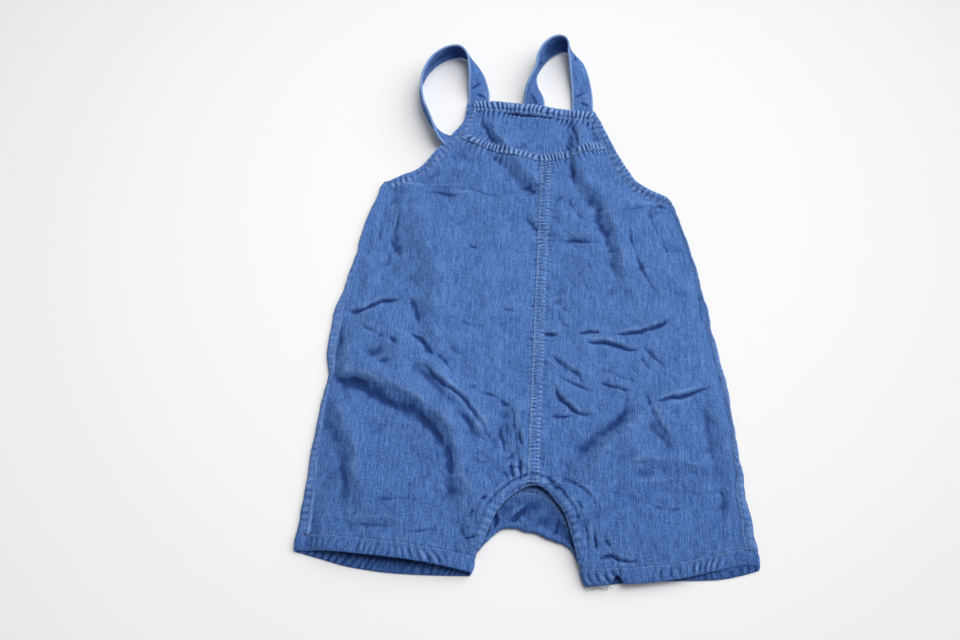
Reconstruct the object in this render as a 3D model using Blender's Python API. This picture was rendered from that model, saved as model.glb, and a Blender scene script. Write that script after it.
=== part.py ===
"""Child's suspender shorts in light denim, laid flat on their back with the front up.

Frame: metres, +Z up, the surface they lie on is z = 0. +Y runs up the garment from the leg hems to
the straps, x = 0 is the seam down the front, and +X is the wearer's left. The tables are in millimetres.
Every piece that is cut and sewn is a closed wall of its own, a seam gap away from its neighbours.
"""

import math
from collections import namedtuple

import bmesh
import bpy
import numpy as np

MM = 0.001

# Walls and gaps
CLOTH = 1.2             # one layer of denim with its small ripples
HEM_WALL = 1.4          # the hem's folded layers
ARMHOLE_WALL = 1.8      # the armhole's folded edge
PLACKET_WALL = 1.2      # the strips behind the crotch's two edges
FELL_WALL = 0.9         # the felled strip above the panel it lies on
SIDE_WALL = 3.0         # felled side seam, all its layers
CASING_WALL = 3.0       # casing with its elastic
STRAP_WALL = 2.0        # two layers and their turned edges
GAP = 0.3               # between pieces at a seam
CURVE_GAP = 0.55        # the same where two curved edges meet, whose facets don't match

# Widths of strips and bands
HEM_DEPTH = 13.0
ARMHOLE_BAND = 9.0
BACK_BAND = 9.0
PLACKET_FRONT = 13.0
PLACKET_BACK = 9.0
CENTRE_FELL = 9.0
YOKE_FELL = 8.0
STRAP_WIDTH = 20.5

# How finely the sheets are divided
CURVE_STEPS = 12        # points that a smooth outline has for each row of its table
PANEL_COLUMNS = 13
LEG_ROWS = 8
BODY_ROWS = 15
YOKE_COLUMNS = 14
YOKE_PARTS = (0.45, 0.6, 0.75, 0.88, 1.0)   # of the yoke's height, for its rows above the felled strip
HEM_COLUMNS = 13
CORNER_COLUMNS = 5
BAND_ROWS = 16
SIDE_ROWS = 26
BACK_LEG_COLUMNS = 5
BACK_SEAT_COLUMNS = 12
BACK_ROWS = 12
BACK_ARMHOLE_ROWS = 8
ROLL_ROWS = 4
SEAT_PARTS = (0.35, 0.7, 1.0)               # of the way from the seat's fold up to its seam
STRAP_ROWS = 34

FELL_COLOUR = (0.115, 0.215, 0.47)
DENIM_COLOUR = (0.075, 0.165, 0.42)
DENIM_ROUGHNESS = 0.85

# The side seams, from the hem up: the outer edge and how wide the felled strip shows beside it.
Side = namedtuple("Side", "y x strip")
SIDE_RIGHT = (
    Side(-214, -180.0, 10.0),
    Side(-199, -179.5, 10.0),
    Side(-165, -178.0, 8.0),
    Side(-120, -176.0, 5.0),
    Side(-82, -173.5, 3.5),
    Side(-62, -171.0, 3.5),
    Side(-42, -174.0, 7.0),
    Side(0, -172.5, 7.5),
    Side(24, -167.0, 6.0),
    Side(60, -160.5, 3.5),
    Side(100, -154.0, 3.0),
    Side(129, -145.5, 3.0),
)
SIDE_LEFT = (
    Side(-207, 183.0, 10.0),
    Side(-192, 182.0, 10.0),
    Side(-160, 177.0, 8.0),
    Side(-120, 172.0, 5.0),
    Side(-82, 167.5, 3.0),
    Side(-50, 163.0, 4.5),
    Side(-30, 158.5, 4.5),
    Side(0, 153.0, 3.5),
    Side(30, 147.0, 3.0),
    Side(60, 141.5, 3.0),
    Side(100, 130.0, 3.0),
    Side(121, 123.0, 3.0),
)

# The armholes' outer edges, from the side seam up to the bib's top corner.
Edge = namedtuple("Edge", "x y")
ARMHOLE_FRONT_RIGHT = (
    Edge(-143.0, 136.0), Edge(-129.0, 143.0), Edge(-116.0, 150.0), Edge(-105.0, 161.0),
    Edge(-92.0, 178.0), Edge(-81.0, 194.0), Edge(-75.0, 206.0), Edge(-73.0, 218.0), Edge(-72.5, 230.0),
)
ARMHOLE_FRONT_LEFT = (
    Edge(120.5, 127.5), Edge(115.0, 134.0), Edge(100.0, 141.0), Edge(88.0, 149.0), Edge(78.0, 164.0),
    Edge(69.0, 182.0), Edge(60.0, 201.0), Edge(53.5, 216.0), Edge(48.5, 226.0),
)
ARMHOLE_BACK_RIGHT = (
    Edge(-142.0, 135.5), Edge(-124.0, 139.0), Edge(-107.0, 146.0), Edge(-92.0, 158.0), Edge(-81.0, 175.0),
)
ARMHOLE_BACK_LEFT = (
    Edge(119.0, 127.0), Edge(103.0, 130.0), Edge(86.0, 138.0), Edge(72.0, 152.0), Edge(62.0, 171.0),
)

# Leg hems, outer corner to inner corner: the folded edge of the front and of the back.
Hem = namedtuple("Hem", "x front back")
HEM_RIGHT = (
    Hem(-180.0, -213.5, -213.5), Hem(-160.0, -213.5, -218.0), Hem(-138.0, -215.0, -223.0),
    Hem(-110.0, -216.5, -226.0), Hem(-85.0, -218.5, -226.5), Hem(-62.0, -221.0, -226.0),
    Hem(-40.0, -224.0, -225.0),
)
HEM_LEFT = (
    Hem(183.0, -206.0, -207.0), Hem(168.0, -209.5, -211.0), Hem(150.0, -214.5, -214.5),
    Hem(120.0, -220.0, -218.0), Hem(90.0, -225.0, -222.0), Hem(64.0, -228.0, -226.0),
    Hem(47.5, -229.0, -228.5),
)

# The front's crotch edge, from the wearer's right hem round to the left one.
CROTCH_FRONT = (
    Edge(-37.5, -208.5), Edge(-33.0, -199.0), Edge(-26.0, -180.0), Edge(-20.0, -169.0),
    Edge(-13.0, -160.5), Edge(-4.0, -154.0), Edge(5.0, -151.0), Edge(14.0, -153.5), Edge(23.0, -162.5),
    Edge(31.0, -174.0), Edge(36.5, -190.0), Edge(40.0, -202.0), Edge(43.0, -213.0),
)

# The back's seat folds up between the legs: where it folds, where its upper seam lies, how high it is.
Rise = namedtuple("Rise", "fold_x fold_y seam_x seam_y top")
SEAT_RISE = (
    Rise(-37.5, -208.5, -42.0, -205.0, 3.8),
    Rise(-33.5, -201.5, -37.0, -190.0, 4.4),
    Rise(-27.0, -194.0, -28.0, -176.0, 5.4),
    Rise(-18.5, -187.5, -19.0, -166.0, 6.0),
    Rise(-9.0, -185.0, -9.5, -160.5, 6.2),
    Rise(2.0, -187.5, 1.0, -158.5, 6.2),
    Rise(13.0, -190.5, 12.0, -160.5, 6.2),
    Rise(22.0, -193.5, 21.5, -167.0, 6.0),
    Rise(30.0, -196.5, 29.5, -179.0, 5.4),
    Rise(37.0, -201.5, 38.0, -194.0, 4.4),
    Rise(42.0, -211.5, 47.0, -208.5, 3.8),
)
ROLL_RADIUS = 2.2

# The seam under the yoke, and the casing's lower and upper edges, wearer's right to left.
YOKE_SEAM = (
    Edge(-90.0, 191.0), Edge(-77.0, 185.0), Edge(-59.0, 178.0), Edge(-38.0, 170.0), Edge(-18.0, 165.5),
    Edge(0.0, 163.5), Edge(17.0, 166.0), Edge(33.0, 171.5), Edge(47.0, 178.5), Edge(61.0, 185.0),
    Edge(75.0, 191.0),
)
CASING_LOWER = (
    Edge(-75.0, 220.5), Edge(-41.0, 221.0), Edge(-10.0, 219.0), Edge(16.0, 216.0), Edge(50.0, 213.0),
)
CASING_UPPER = (
    Edge(-75.0, 230.0), Edge(-41.0, 231.5), Edge(-10.0, 230.0), Edge(16.0, 227.5), Edge(50.0, 225.0),
)

# The back's top edge, wearer's right to left.
BACK_NECK = (
    Edge(-81.0, 175.0), Edge(-45.0, 171.0), Edge(-10.0, 169.5), Edge(30.0, 170.0), Edge(62.0, 171.0),
)

# How high the front's underside lies: at its outer edge, at its inner edge, and its hump between them.
Lift = namedtuple("Lift", "y outer hump inner")
LIFT_RIGHT = (
    Lift(-228, 2.3, 10.5, 5.6), Lift(-212, 2.3, 9.0, 6.0), Lift(-180, 2.2, 6.5, 7.6),
    Lift(-150, 2.0, 4.0, 8.6), Lift(-80, 1.8, 3.5, 6.2), Lift(0, 1.8, 4.0, 5.6), Lift(100, 1.8, 4.0, 5.6),
    Lift(130, 2.4, 3.6, 5.8), Lift(158, 6.6, 2.0, 6.0), Lift(173, 10.0, 0.8, 6.0),
    Lift(190, 9.8, 0.4, 6.0), Lift(209, 6.6, 0.2, 5.2), Lift(232, 4.4, 0.0, 4.4),
)
LIFT_LEFT = (
    Lift(-230, 2.3, 4.5, 5.6), Lift(-215, 2.3, 4.5, 6.0), Lift(-180, 2.2, 4.0, 7.6),
    Lift(-150, 2.0, 3.5, 8.6), Lift(-80, 1.8, 3.5, 6.2), Lift(0, 1.8, 4.0, 5.6), Lift(100, 1.8, 4.0, 5.6),
    Lift(125, 2.4, 3.6, 5.8), Lift(165, 3.4, 2.4, 6.0), Lift(188, 4.0, 1.6, 6.0),
    Lift(210, 4.2, 0.6, 5.2), Lift(232, 4.4, 0.0, 4.4),
)
LEAST_LIFT = 1.6
HUMP_FULLNESS = 0.8     # below 1 the hump is flatter on top
FOLD_START = 0.25       # how far in from the side the folds have their full height

# The largest folds of the front: from and to, height (a trough is below 0) and half its width.
Fold = namedtuple("Fold", "from_x from_y to_x to_y height reach")
FOLDS = (
    Fold(38.0, 150.0, 64.0, 112.0, 3.0, 9.0),
    Fold(64.0, 112.0, 68.0, 52.0, 2.6, 9.0),
    Fold(40.0, -22.0, 92.0, -31.0, -2.6, 7.0),
    Fold(16.0, -8.0, 70.0, -9.0, 2.4, 8.0),
    Fold(74.0, -10.0, 118.0, 6.0, 2.0, 8.0),
    Fold(80.0, -112.0, 46.0, -150.0, 2.4, 10.0),
    Fold(112.0, -80.0, 150.0, -66.0, -2.0, 8.0),
    Fold(-104.0, -52.0, -40.0, -122.0, 2.8, 9.0),
    Fold(-150.0, -58.0, -92.0, -92.0, -2.4, 13.0),
    Fold(-158.0, 2.0, -108.0, 16.0, 2.4, 7.0),
    Fold(-86.0, 48.0, -88.0, -14.0, 2.2, 8.0),
)

# The straps' middle lines from the bib to the back. turn is 0 where the strap's face is up, 90 where
# it stands on its edge and 180 where its other face is up; lift is the gap under its lowest edge.
Bend = namedtuple("Bend", "x y lift turn")
STRAP_PATH_RIGHT = (
    Bend(-61.5, 223.0, 1.6, 0.0),
    Bend(-61.5, 236.0, 1.0, 4.0),
    Bend(-63.0, 250.0, 0.3, 22.0),
    Bend(-66.5, 265.0, 0.3, 46.0),
    Bend(-72.0, 278.0, 0.3, 68.0),
    Bend(-82.0, 287.0, 0.3, 84.0),
    Bend(-95.0, 284.0, 0.3, 92.0),
    Bend(-107.0, 274.0, 0.3, 97.0),
    Bend(-115.0, 259.0, 0.3, 98.0),
    Bend(-117.0, 243.0, 0.3, 98.0),
    Bend(-114.0, 224.0, 0.3, 100.0),
    Bend(-107.5, 207.0, 0.3, 110.0),
    Bend(-100.5, 196.0, 0.3, 124.0),
    Bend(-91.0, 187.0, 0.3, 152.0),
    Bend(-79.0, 181.0, 1.4, 174.0),
    Bend(-64.0, 174.0, 2.6, 180.0),
    Bend(-46.0, 164.0, 2.4, 180.0),
)
STRAP_PATH_LEFT = (
    Bend(37.5, 219.0, 1.6, 0.0),
    Bend(37.0, 233.0, 1.0, 4.0),
    Bend(36.0, 250.0, 0.4, 12.0),
    Bend(33.0, 268.0, 0.4, 24.0),
    Bend(28.5, 286.0, 0.4, 48.0),
    Bend(21.5, 299.0, 0.4, 84.0),
    Bend(12.0, 302.0, 0.4, 112.0),
    Bend(2.0, 295.0, 0.4, 112.0),
    Bend(-5.0, 282.0, 0.4, 100.0),
    Bend(-8.5, 267.0, 0.4, 92.0),
    Bend(-10.0, 254.0, 0.4, 112.0),
    Bend(-9.5, 243.0, 0.4, 150.0),
    Bend(-9.0, 236.0, 0.4, 171.0),
    Bend(-8.5, 230.0, 0.4, 180.0),
    Bend(-4.0, 214.0, 1.0, 180.0),
    Bend(4.0, 192.0, 1.8, 180.0),
    Bend(10.0, 178.0, 2.4, 180.0),
    Bend(14.0, 163.0, 2.4, 180.0),
)


# --- Curves ---------------------------------------------------------------------------------------

def smooth(rows, steps=CURVE_STEPS):
    """Points along a smooth curve through a table's rows, with all its columns."""
    ends = np.asarray(rows, float)
    knots = np.vstack([2 * ends[0] - ends[1], ends, 2 * ends[-1] - ends[-2]])
    points = []
    for before, start, end, after in zip(knots, knots[1:], knots[2:], knots[3:]):
        for part in np.arange(steps) / steps:
            bend = (end - before) * part + (2 * before - 5 * start + 4 * end - after) * part ** 2
            bend += (3 * start - before - 3 * end + after) * part ** 3
            points.append(start + bend / 2)
    points.append(ends[-1])
    return np.array(points)


def evenly(path, count):
    """The same path with this many points, evenly spaced along it in plan."""
    steps = np.hypot(*np.diff(path[:, :2], axis=0).T)
    along = np.concatenate([[0.0], np.cumsum(steps)])
    stations = np.linspace(0.0, along[-1], count)
    return np.column_stack([np.interp(stations, along, column) for column in path.T])


def moved_aside(path, distance):
    """The path moved to the left of its own direction, in plan."""
    run = np.gradient(path[:, :2], axis=0)
    run /= np.hypot(*run.T)[:, None]
    aside = path.copy()
    aside[:, 0] -= run[:, 1] * distance
    aside[:, 1] += run[:, 0] * distance
    return aside


def x_at(path, y):
    order = np.argsort(path[:, 1])
    return np.interp(y, path[order, 1], path[order, 0])


def y_at(path, x):
    order = np.argsort(path[:, 0])
    return np.interp(x, path[order, 0], path[order, 1])


def meet(edge, line, x=0.0):
    """Where a line that runs across the garment reaches an edge that runs up it."""
    for _ in range(6):
        x = x_at(edge, y_at(line, x))
    return x


def mix(start, end, part):
    return start + (end - start) * part


def spread(breaks, counts):
    """Stations from the first break to the last, with so many steps in each stretch."""
    parts = [np.linspace(a, b, n + 1)[1:] for a, b, n in zip(breaks, breaks[1:], counts)]
    return np.concatenate([[breaks[0]], *parts])


# --- The garment's outline ------------------------------------------------------------------------

class Half:
    """One side of the garment. out is -1 on the wearer's right and +1 on the left."""

    def __init__(self, name, out, side, armhole, back_armhole, hem, lift):
        self.name = name
        self.out = out
        rows = smooth(side)
        self.side = np.column_stack([rows[:, 1], rows[:, 0], rows[:, 2]])
        self.armhole = smooth(armhole)
        self.back_armhole = smooth(back_armhole)
        self.hem = smooth(hem)
        self.lift = smooth(lift)
        seam = self.side[:, :2].copy()
        seam[:, 0] -= out * (self.side[:, 2] + CURVE_GAP)
        self.edge = self.joined(seam, self.inside(self.armhole, ARMHOLE_BAND + CURVE_GAP))
        self.back_edge = self.joined(seam, self.inside(self.back_armhole, BACK_BAND + CURVE_GAP))
        self.back_corner = self.inside(self.back_armhole, BACK_BAND + CURVE_GAP)[0, 1]

    def inside(self, path, distance):
        """A path that runs up the garment, moved in from the side."""
        return moved_aside(path, distance * self.out)

    def joined(self, seam, armhole):
        """A panel's outer edge: up the side seam, then on inside the armhole strip and past its end."""
        beyond = armhole[-1] + (armhole[-1] - armhole[-2]) * CURVE_STEPS
        return np.vstack([seam[seam[:, 1] < armhole[0, 1] - CURVE_GAP], armhole, beyond])

    def hem_y(self, x, column, depth):
        """How far up the hem's folded edge or its stitch line is, on the front (1) or back (2)."""
        return y_at(self.hem[:, (0, column)], x) + depth


RIGHT = Half("right", -1, SIDE_RIGHT, ARMHOLE_FRONT_RIGHT, ARMHOLE_BACK_RIGHT, HEM_RIGHT, LIFT_RIGHT)
LEFT = Half("left", 1, SIDE_LEFT, ARMHOLE_FRONT_LEFT, ARMHOLE_BACK_LEFT, HEM_LEFT, LIFT_LEFT)

CROTCH = smooth(CROTCH_FRONT)
CROTCH_TOP = CROTCH[:, 1].argmax()
SEAM_UNDER_YOKE = smooth(YOKE_SEAM)
CASING_LOW = smooth(CASING_LOWER)
CASING_HIGH = smooth(CASING_UPPER)
NECK = smooth(BACK_NECK)


def inner_x(half, y):
    """A front panel's inner edge: the seam down the front, or the crotch edge below it."""
    own = CROTCH[CROTCH_TOP:] if half is LEFT else CROTCH[:CROTCH_TOP + 1]
    return float(x_at(own, y)) if y < CROTCH[CROTCH_TOP, 1] else half.out * GAP / 2


def fold_height(x, y):
    """What the large folds add to the front's height."""
    height = 0.0
    for fold in FOLDS:
        start = np.array([fold.from_x, fold.from_y])
        run = np.array([fold.to_x, fold.to_y]) - start
        part = np.clip(((x - start[0]) * run[0] + (y - start[1]) * run[1]) / (run @ run), 0.0, 1.0)
        away = np.hypot(x - start[0] - run[0] * part, y - start[1] - run[1] * part) / fold.reach
        height += fold.height * math.exp(-away ** 2)
    return height


def lift(x, y):
    """Height of the underside of the front's cloth above the surface."""
    half = LEFT if x > 0.0 else RIGHT
    outer, hump, inner = [np.interp(y, half.lift[:, 0], half.lift[:, k]) for k in (1, 2, 3)]
    start = x_at(half.edge, y)
    across = float(np.clip((x - start) / (inner_x(half, y) - start), 0.0, 1.0))
    rise = mix(outer, inner, across) + hump * math.sin(math.pi * across) ** HUMP_FULLNESS
    return max(LEAST_LIFT, rise + min(1.0, across / FOLD_START) * fold_height(x, y))


def on_front(x, y):
    return (x, y, lift(x, y))


# --- Making the pieces ----------------------------------------------------------------------------

def clear_scene():
    for item in list(bpy.data.objects):
        bpy.data.objects.remove(item, do_unlink=True)


def cloth_material(name, colour):
    material = bpy.data.materials.new(name)
    material.use_nodes = True
    finish = material.node_tree.nodes["Principled BSDF"]
    finish.inputs["Base Color"].default_value = (*colour, 1.0)
    finish.inputs["Roughness"].default_value = DENIM_ROUGHNESS
    finish.inputs["Metallic"].default_value = 0.0
    return material


def grid(points):
    """A sheet of quads on rows of points in millimetres, and its points row by row."""
    points = np.asarray(points, float)
    rows, columns = points.shape[:2]
    shape = bmesh.new()
    bmesh.ops.create_grid(shape, x_segments=columns - 1, y_segments=rows - 1, size=1.0)
    verts = {}
    for vert in shape.verts:
        place = round((vert.co.y + 1.0) / 2.0 * (rows - 1)), round((vert.co.x + 1.0) / 2.0 * (columns - 1))
        verts[place] = vert
        vert.co = points[place] * MM
    return shape, verts


def sheet(name, points, wall, side=1.0, loop=False, colour=DENIM_COLOUR):
    """A wall of cloth on a grid of points: side 1 thickens it above them, -1 below, 0 both ways."""
    shape, _ = grid(points)
    if loop:
        bmesh.ops.remove_doubles(shape, verts=shape.verts, dist=0.01 * MM)
    return walled(name, shape, wall, side, colour)


def walled(name, shape, wall, side, colour):
    """An object from an open sheet, with the cloth's thickness on it."""
    mesh = bpy.data.meshes.new(name)
    shape.to_mesh(mesh)
    shape.free()
    piece = bpy.data.objects.new(name, mesh)
    bpy.context.collection.objects.link(piece)
    piece.data.materials.append(cloth_material(name, colour))
    thickness = piece.modifiers.new("Cloth", "SOLIDIFY")
    thickness.thickness = wall * MM
    thickness.offset = side
    return piece


# --- Front ----------------------------------------------------------------------------------------

def facing_up(points, half):
    """Rows run up the garment; their columns are put in order towards +X, so the sheet faces up."""
    return points if half is RIGHT else points[:, ::-1]


def panel_points(half):
    """The front panel's underside: rows from the hem to the yoke, columns from the side to the middle."""
    depth = HEM_DEPTH + GAP
    side_low = half.hem_y(half.hem[0, 0], 1, depth)
    side_high = y_at(SEAM_UNDER_YOKE, meet(half.edge, SEAM_UNDER_YOKE)) - CURVE_GAP
    middle_low = half.hem_y(half.hem[-1, 0], 1, depth)
    middle_high = y_at(SEAM_UNDER_YOKE, 0.0) - CURVE_GAP
    crotch = (CROTCH[CROTCH_TOP, 1] - middle_low) / (middle_high - middle_low)
    armhole = half.inside(evenly(half.armhole, BAND_ROWS + 1), ARMHOLE_BAND)[:, 1]
    armhole = (armhole[armhole < side_high - 2.0] - side_low) / (side_high - side_low)
    legs = crotch * np.sin(np.linspace(0.0, math.pi / 2, LEG_ROWS + 1))
    body = np.linspace(crotch, armhole[0], BODY_ROWS)[1:-1]
    points = []
    for up in np.concatenate([legs, body, armhole, [1.0]]):
        start = x_at(half.edge, mix(side_low, side_high, up))
        end = inner_x(half, mix(middle_low, middle_high, up))
        fell = 1.0 - CENTRE_FELL / abs(end - start)
        row = []
        for across in np.append(np.linspace(0.0, fell, PANEL_COLUMNS), 1.0):
            bottom_x = mix(x_at(half.edge, side_low), inner_x(half, middle_low), across)
            top_x = mix(x_at(half.edge, side_high), inner_x(half, middle_high), across)
            bottom = half.hem_y(bottom_x, 1, depth)
            top = y_at(SEAM_UNDER_YOKE, top_x) - CURVE_GAP
            row.append(on_front(mix(start, end, across), mix(bottom, top, up)))
        points.append(row)
    return np.array(points)


def make_front_panels():
    for half in (RIGHT, LEFT):
        points = panel_points(half)
        sheet(f"front_panel_{half.name}", facing_up(points, half), CLOTH)
        if half is LEFT:
            fell = points[LEG_ROWS:, -2:] + (0.0, 0.0, CLOTH + GAP)
            sheet("centre_front_seam", facing_up(fell, half), FELL_WALL, colour=FELL_COLOUR)


def yoke_points():
    """The yoke's underside: the seam, the top of its felled strip, and on up to the casing."""
    seam = np.linspace(*(meet(half.edge, SEAM_UNDER_YOKE) for half in (RIGHT, LEFT)), YOKE_COLUMNS + 1)
    bottom = y_at(SEAM_UNDER_YOKE, seam)
    top = y_at(CASING_LOW, seam)
    points = []
    for heights in (bottom, bottom + YOKE_FELL, *(mix(bottom, top, up) for up in YOKE_PARTS)):
        start, end = x_at(RIGHT.edge, heights[0]), x_at(LEFT.edge, heights[-1])
        across = np.linspace(start, end, YOKE_COLUMNS + 1)
        points.append([on_front(x, y) for x, y in zip(across, heights)])
    return np.array(points)


def make_bib():
    points = yoke_points()
    sheet("bib_yoke", points, CLOTH)
    sheet("yoke_seam", points[:2] + (0.0, 0.0, CLOTH + GAP), FELL_WALL, colour=FELL_COLOUR)
    rows = []
    for edge, gap in ((CASING_LOW, GAP), (CASING_HIGH, 0.0)):
        start, end = [meet(half.edge, edge) for half in (RIGHT, LEFT)]
        rows.append([on_front(x, y_at(edge, x) + gap) for x in np.linspace(start, end, YOKE_COLUMNS + 1)])
    sheet("bib_casing", rows, CASING_WALL, colour=FELL_COLOUR)


def make_armholes():
    for half in (RIGHT, LEFT):
        outer = evenly(half.armhole, BAND_ROWS + 1)
        inner = half.inside(outer, ARMHOLE_BAND)
        rows = np.array([[on_front(*a), on_front(*b)] for a, b in zip(outer, inner)])
        sheet(f"armhole_front_{half.name}", facing_up(rows, half), ARMHOLE_WALL, colour=FELL_COLOUR)
        outer = evenly(half.back_armhole, BAND_ROWS // 2 + 1)
        inner = half.inside(outer, BACK_BAND)
        rows = np.array([[(*a, 0.0), (*b, 0.0)] for a, b in zip(outer, inner)])
        sheet(f"armhole_back_{half.name}", facing_up(rows, half), ARMHOLE_WALL, colour=FELL_COLOUR)


# --- Hems, sides and crotch -----------------------------------------------------------------------

def hem_loop(half, depth):
    """Once round a leg opening at this distance up from its edge: front, inner corner, back, outer."""
    outer = x_at(half.side[:, :2], half.hem[0, 1] + depth)
    inner = mix(half.hem[-1, 0], inner_x(half, half.hem[-1, 1]), depth / HEM_DEPTH)
    inset = math.copysign(ROLL_RADIUS, inner - outer)
    across = np.linspace(outer + inset, inner - inset, HEM_COLUMNS + 1)
    front = []
    for x in across:
        y = half.hem_y(x, 1, depth)
        front.append((x, y, lift(x, y) + CLOTH))
    back = [(x, half.hem_y(x, 2, depth), 0.0) for x in across[::-1]]
    inner_turn = half_turn(front[-1], back[0], inset)
    outer_turn = half_turn(back[-1], front[0], -inset)
    return front + inner_turn + back + outer_turn + front[:1]


def half_turn(start, end, outward):
    """The points of half a turn between two points that lie one above the other, without its ends."""
    points = []
    for angle in np.linspace(0.0, math.pi, CORNER_COLUMNS + 2)[1:-1]:
        part = (1.0 - math.cos(angle)) / 2
        points.append((
            mix(start[0], end[0], part) + outward * math.sin(angle),
            mix(start[1], end[1], part),
            mix(start[2], end[2], part),
        ))
    return points


def make_hems():
    for half in (RIGHT, LEFT):
        ring = np.array([hem_loop(half, depth) for depth in (0.0, HEM_DEPTH / 2, HEM_DEPTH)])
        sheet(f"hem_{half.name}", facing_up(ring, half), HEM_WALL, -1.0, loop=True, colour=FELL_COLOUR)


def make_side_seams():
    for half in (RIGHT, LEFT):
        low = half.hem_y(half.hem[0, 0], 1, HEM_DEPTH + GAP)
        high = half.armhole[0, 1] - ARMHOLE_BAND + 2.0
        rows = []
        for y in np.linspace(low, high, SIDE_ROWS + 1):
            edge = x_at(half.side[:, :2], y)
            strip = np.interp(y, half.side[:, 1], half.side[:, 2])
            rows.append([(edge, y, 0.0), (edge - half.out * strip, y, 0.0)])
        sheet(f"side_seam_{half.name}", facing_up(np.array(rows), half), SIDE_WALL, colour=FELL_COLOUR)


def make_front_placket():
    """The strip behind the front's crotch edge, from leg to leg."""
    outer = evenly(CROTCH, 2 * BAND_ROWS + 1)
    inner = moved_aside(outer, PLACKET_FRONT)
    rows = np.array([[on_front(*b), on_front(*a)] for a, b in zip(outer, inner)])
    sheet("crotch_edge_front", rows - (0.0, 0.0, GAP), PLACKET_WALL, -1.0, colour=FELL_COLOUR)


# --- Back -----------------------------------------------------------------------------------------

def span(y):
    """Width of the back between its outer edges."""
    return x_at(LEFT.back_edge, y) - x_at(RIGHT.back_edge, y)


def back_bottom(flat):
    """The back's lower edge where it lies flat: along one hem, the foot of the seat's fold, the other."""
    stretches = []
    for half, corner in ((RIGHT, flat[0]), (LEFT, flat[-1])):
        start = x_at(half.back_edge, half.hem_y(half.hem[0, 0], 2, HEM_DEPTH + GAP))
        across = np.linspace(start, corner[0] + half.out, BACK_LEG_COLUMNS + 1)
        stretches.append([(x, half.hem_y(x, 2, HEM_DEPTH + GAP)) for x in across])
    return np.array(stretches[0] + [tuple(point) for point in flat] + stretches[1][::-1])


def make_back_panel():
    """The back lies flat, and between the legs its seat folds up and over to meet the front."""
    seat = evenly(smooth(SEAT_RISE), BACK_SEAT_COLUMNS + 1)
    flat = moved_aside(seat, ROLL_RADIUS)[:, :2]
    bottom = back_bottom(flat)
    low = [(x - x_at(RIGHT.back_edge, y)) / span(y) for x, y in bottom]
    top = np.linspace(0.0, 1.0, len(bottom))
    neck_x = x_at(RIGHT.back_edge, NECK[0, 1]) + span(NECK[0, 1]) * top
    neck_y = y_at(NECK, neck_x) - BACK_BAND - GAP
    corners = [(half.back_corner - bottom[end, 1]) / (neck_y[end] - bottom[end, 1])
               for half, end in ((RIGHT, 0), (LEFT, -1))]
    points = []
    for up in spread((0.0, *sorted(corners), 1.0), (BACK_ROWS, 2, BACK_ARMHOLE_ROWS)):
        y = mix(bottom[:, 1], neck_y, up)
        x = x_at(RIGHT.back_edge, y) + span(y) * mix(np.array(low), top, up)
        points.append(np.column_stack([x, y, 0.0 * y]))
    shape, verts = grid(points)
    first = BACK_LEG_COLUMNS + 1
    edge = [verts[0, first + column] for column in range(len(flat))]
    for row in seat_rolls(seat, flat):
        edge = add_row(shape, edge, row)
    walled("back_panel", shape, CLOTH, 1.0, DENIM_COLOUR)
    make_back_placket(seat, flat)


def seat_rolls(seat, flat):
    """Rows of points round the seat's fold and up to its seam."""
    out = seat[:, :2] - flat
    rows = []
    for angle in np.linspace(0.0, math.pi, ROLL_ROWS + 1)[1:]:
        rise = seat[:, 4] * (1.0 - math.cos(angle)) / 2
        rows.append(np.column_stack([flat + out * math.sin(angle), rise]))
    for part in SEAT_PARTS:
        rows.append(np.column_stack([mix(flat, seat[:, 2:4], part), seat[:, 4]]))
    return rows


def add_row(shape, edge, points):
    """Another row of quads below an edge of the sheet."""
    row = [shape.verts.new(point * MM) for point in points]
    for old, old_next, new, new_next in zip(edge, edge[1:], row, row[1:]):
        shape.faces.new((new, new_next, old_next, old))
    return row


def make_back_placket(seat, flat):
    """The stitched strip above the seat's seam, under the front's crotch edge."""
    up = seat[:, 2:4] - flat
    up /= np.hypot(*up.T)[:, None]
    rows = [[(*(point[2:4] + way * reach), point[4]) for reach in (GAP, GAP + PLACKET_BACK)]
            for point, way in zip(seat, up)]
    sheet("crotch_edge_back", np.array(rows)[:, ::-1], PLACKET_WALL, -1.0, colour=FELL_COLOUR)


def make_back_top_hem():
    rows = []
    for drop in (BACK_BAND, 0.0):
        start, end = [meet(half.back_edge, NECK - (0.0, drop)) for half in (RIGHT, LEFT)]
        across = np.linspace(start, end, YOKE_COLUMNS + 1)
        rows.append(np.column_stack([across, y_at(NECK, across) - drop, 0.0 * across]))
    sheet("back_top_hem", rows, ARMHOLE_WALL, colour=FELL_COLOUR)


# --- Straps ---------------------------------------------------------------------------------------

def make_straps():
    for half, path in ((RIGHT, STRAP_PATH_RIGHT), (LEFT, STRAP_PATH_LEFT)):
        middle = evenly(smooth(path), STRAP_ROWS + 1)
        run = np.gradient(middle[:, :2], axis=0)
        run /= np.hypot(*run.T)[:, None]
        rows = []
        for (x, y, gap, turn), (run_x, run_y) in zip(middle, run):
            flat, rise = math.cos(math.radians(turn)), math.sin(math.radians(turn))
            z = gap + (STRAP_WIDTH * rise + STRAP_WALL * abs(flat)) / 2
            across = np.array((-run_y * flat, run_x * flat, rise)) * STRAP_WIDTH / 2
            rows.append([(x, y, z) - across, (x, y, z), (x, y, z) + across])
        sheet(f"strap_{half.name}", rows, STRAP_WALL, 0.0)


def main():
    clear_scene()
    make_front_panels()
    make_bib()
    make_armholes()
    make_hems()
    make_side_seams()
    make_front_placket()
    make_back_panel()
    make_back_top_hem()
    make_straps()


main()
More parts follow.
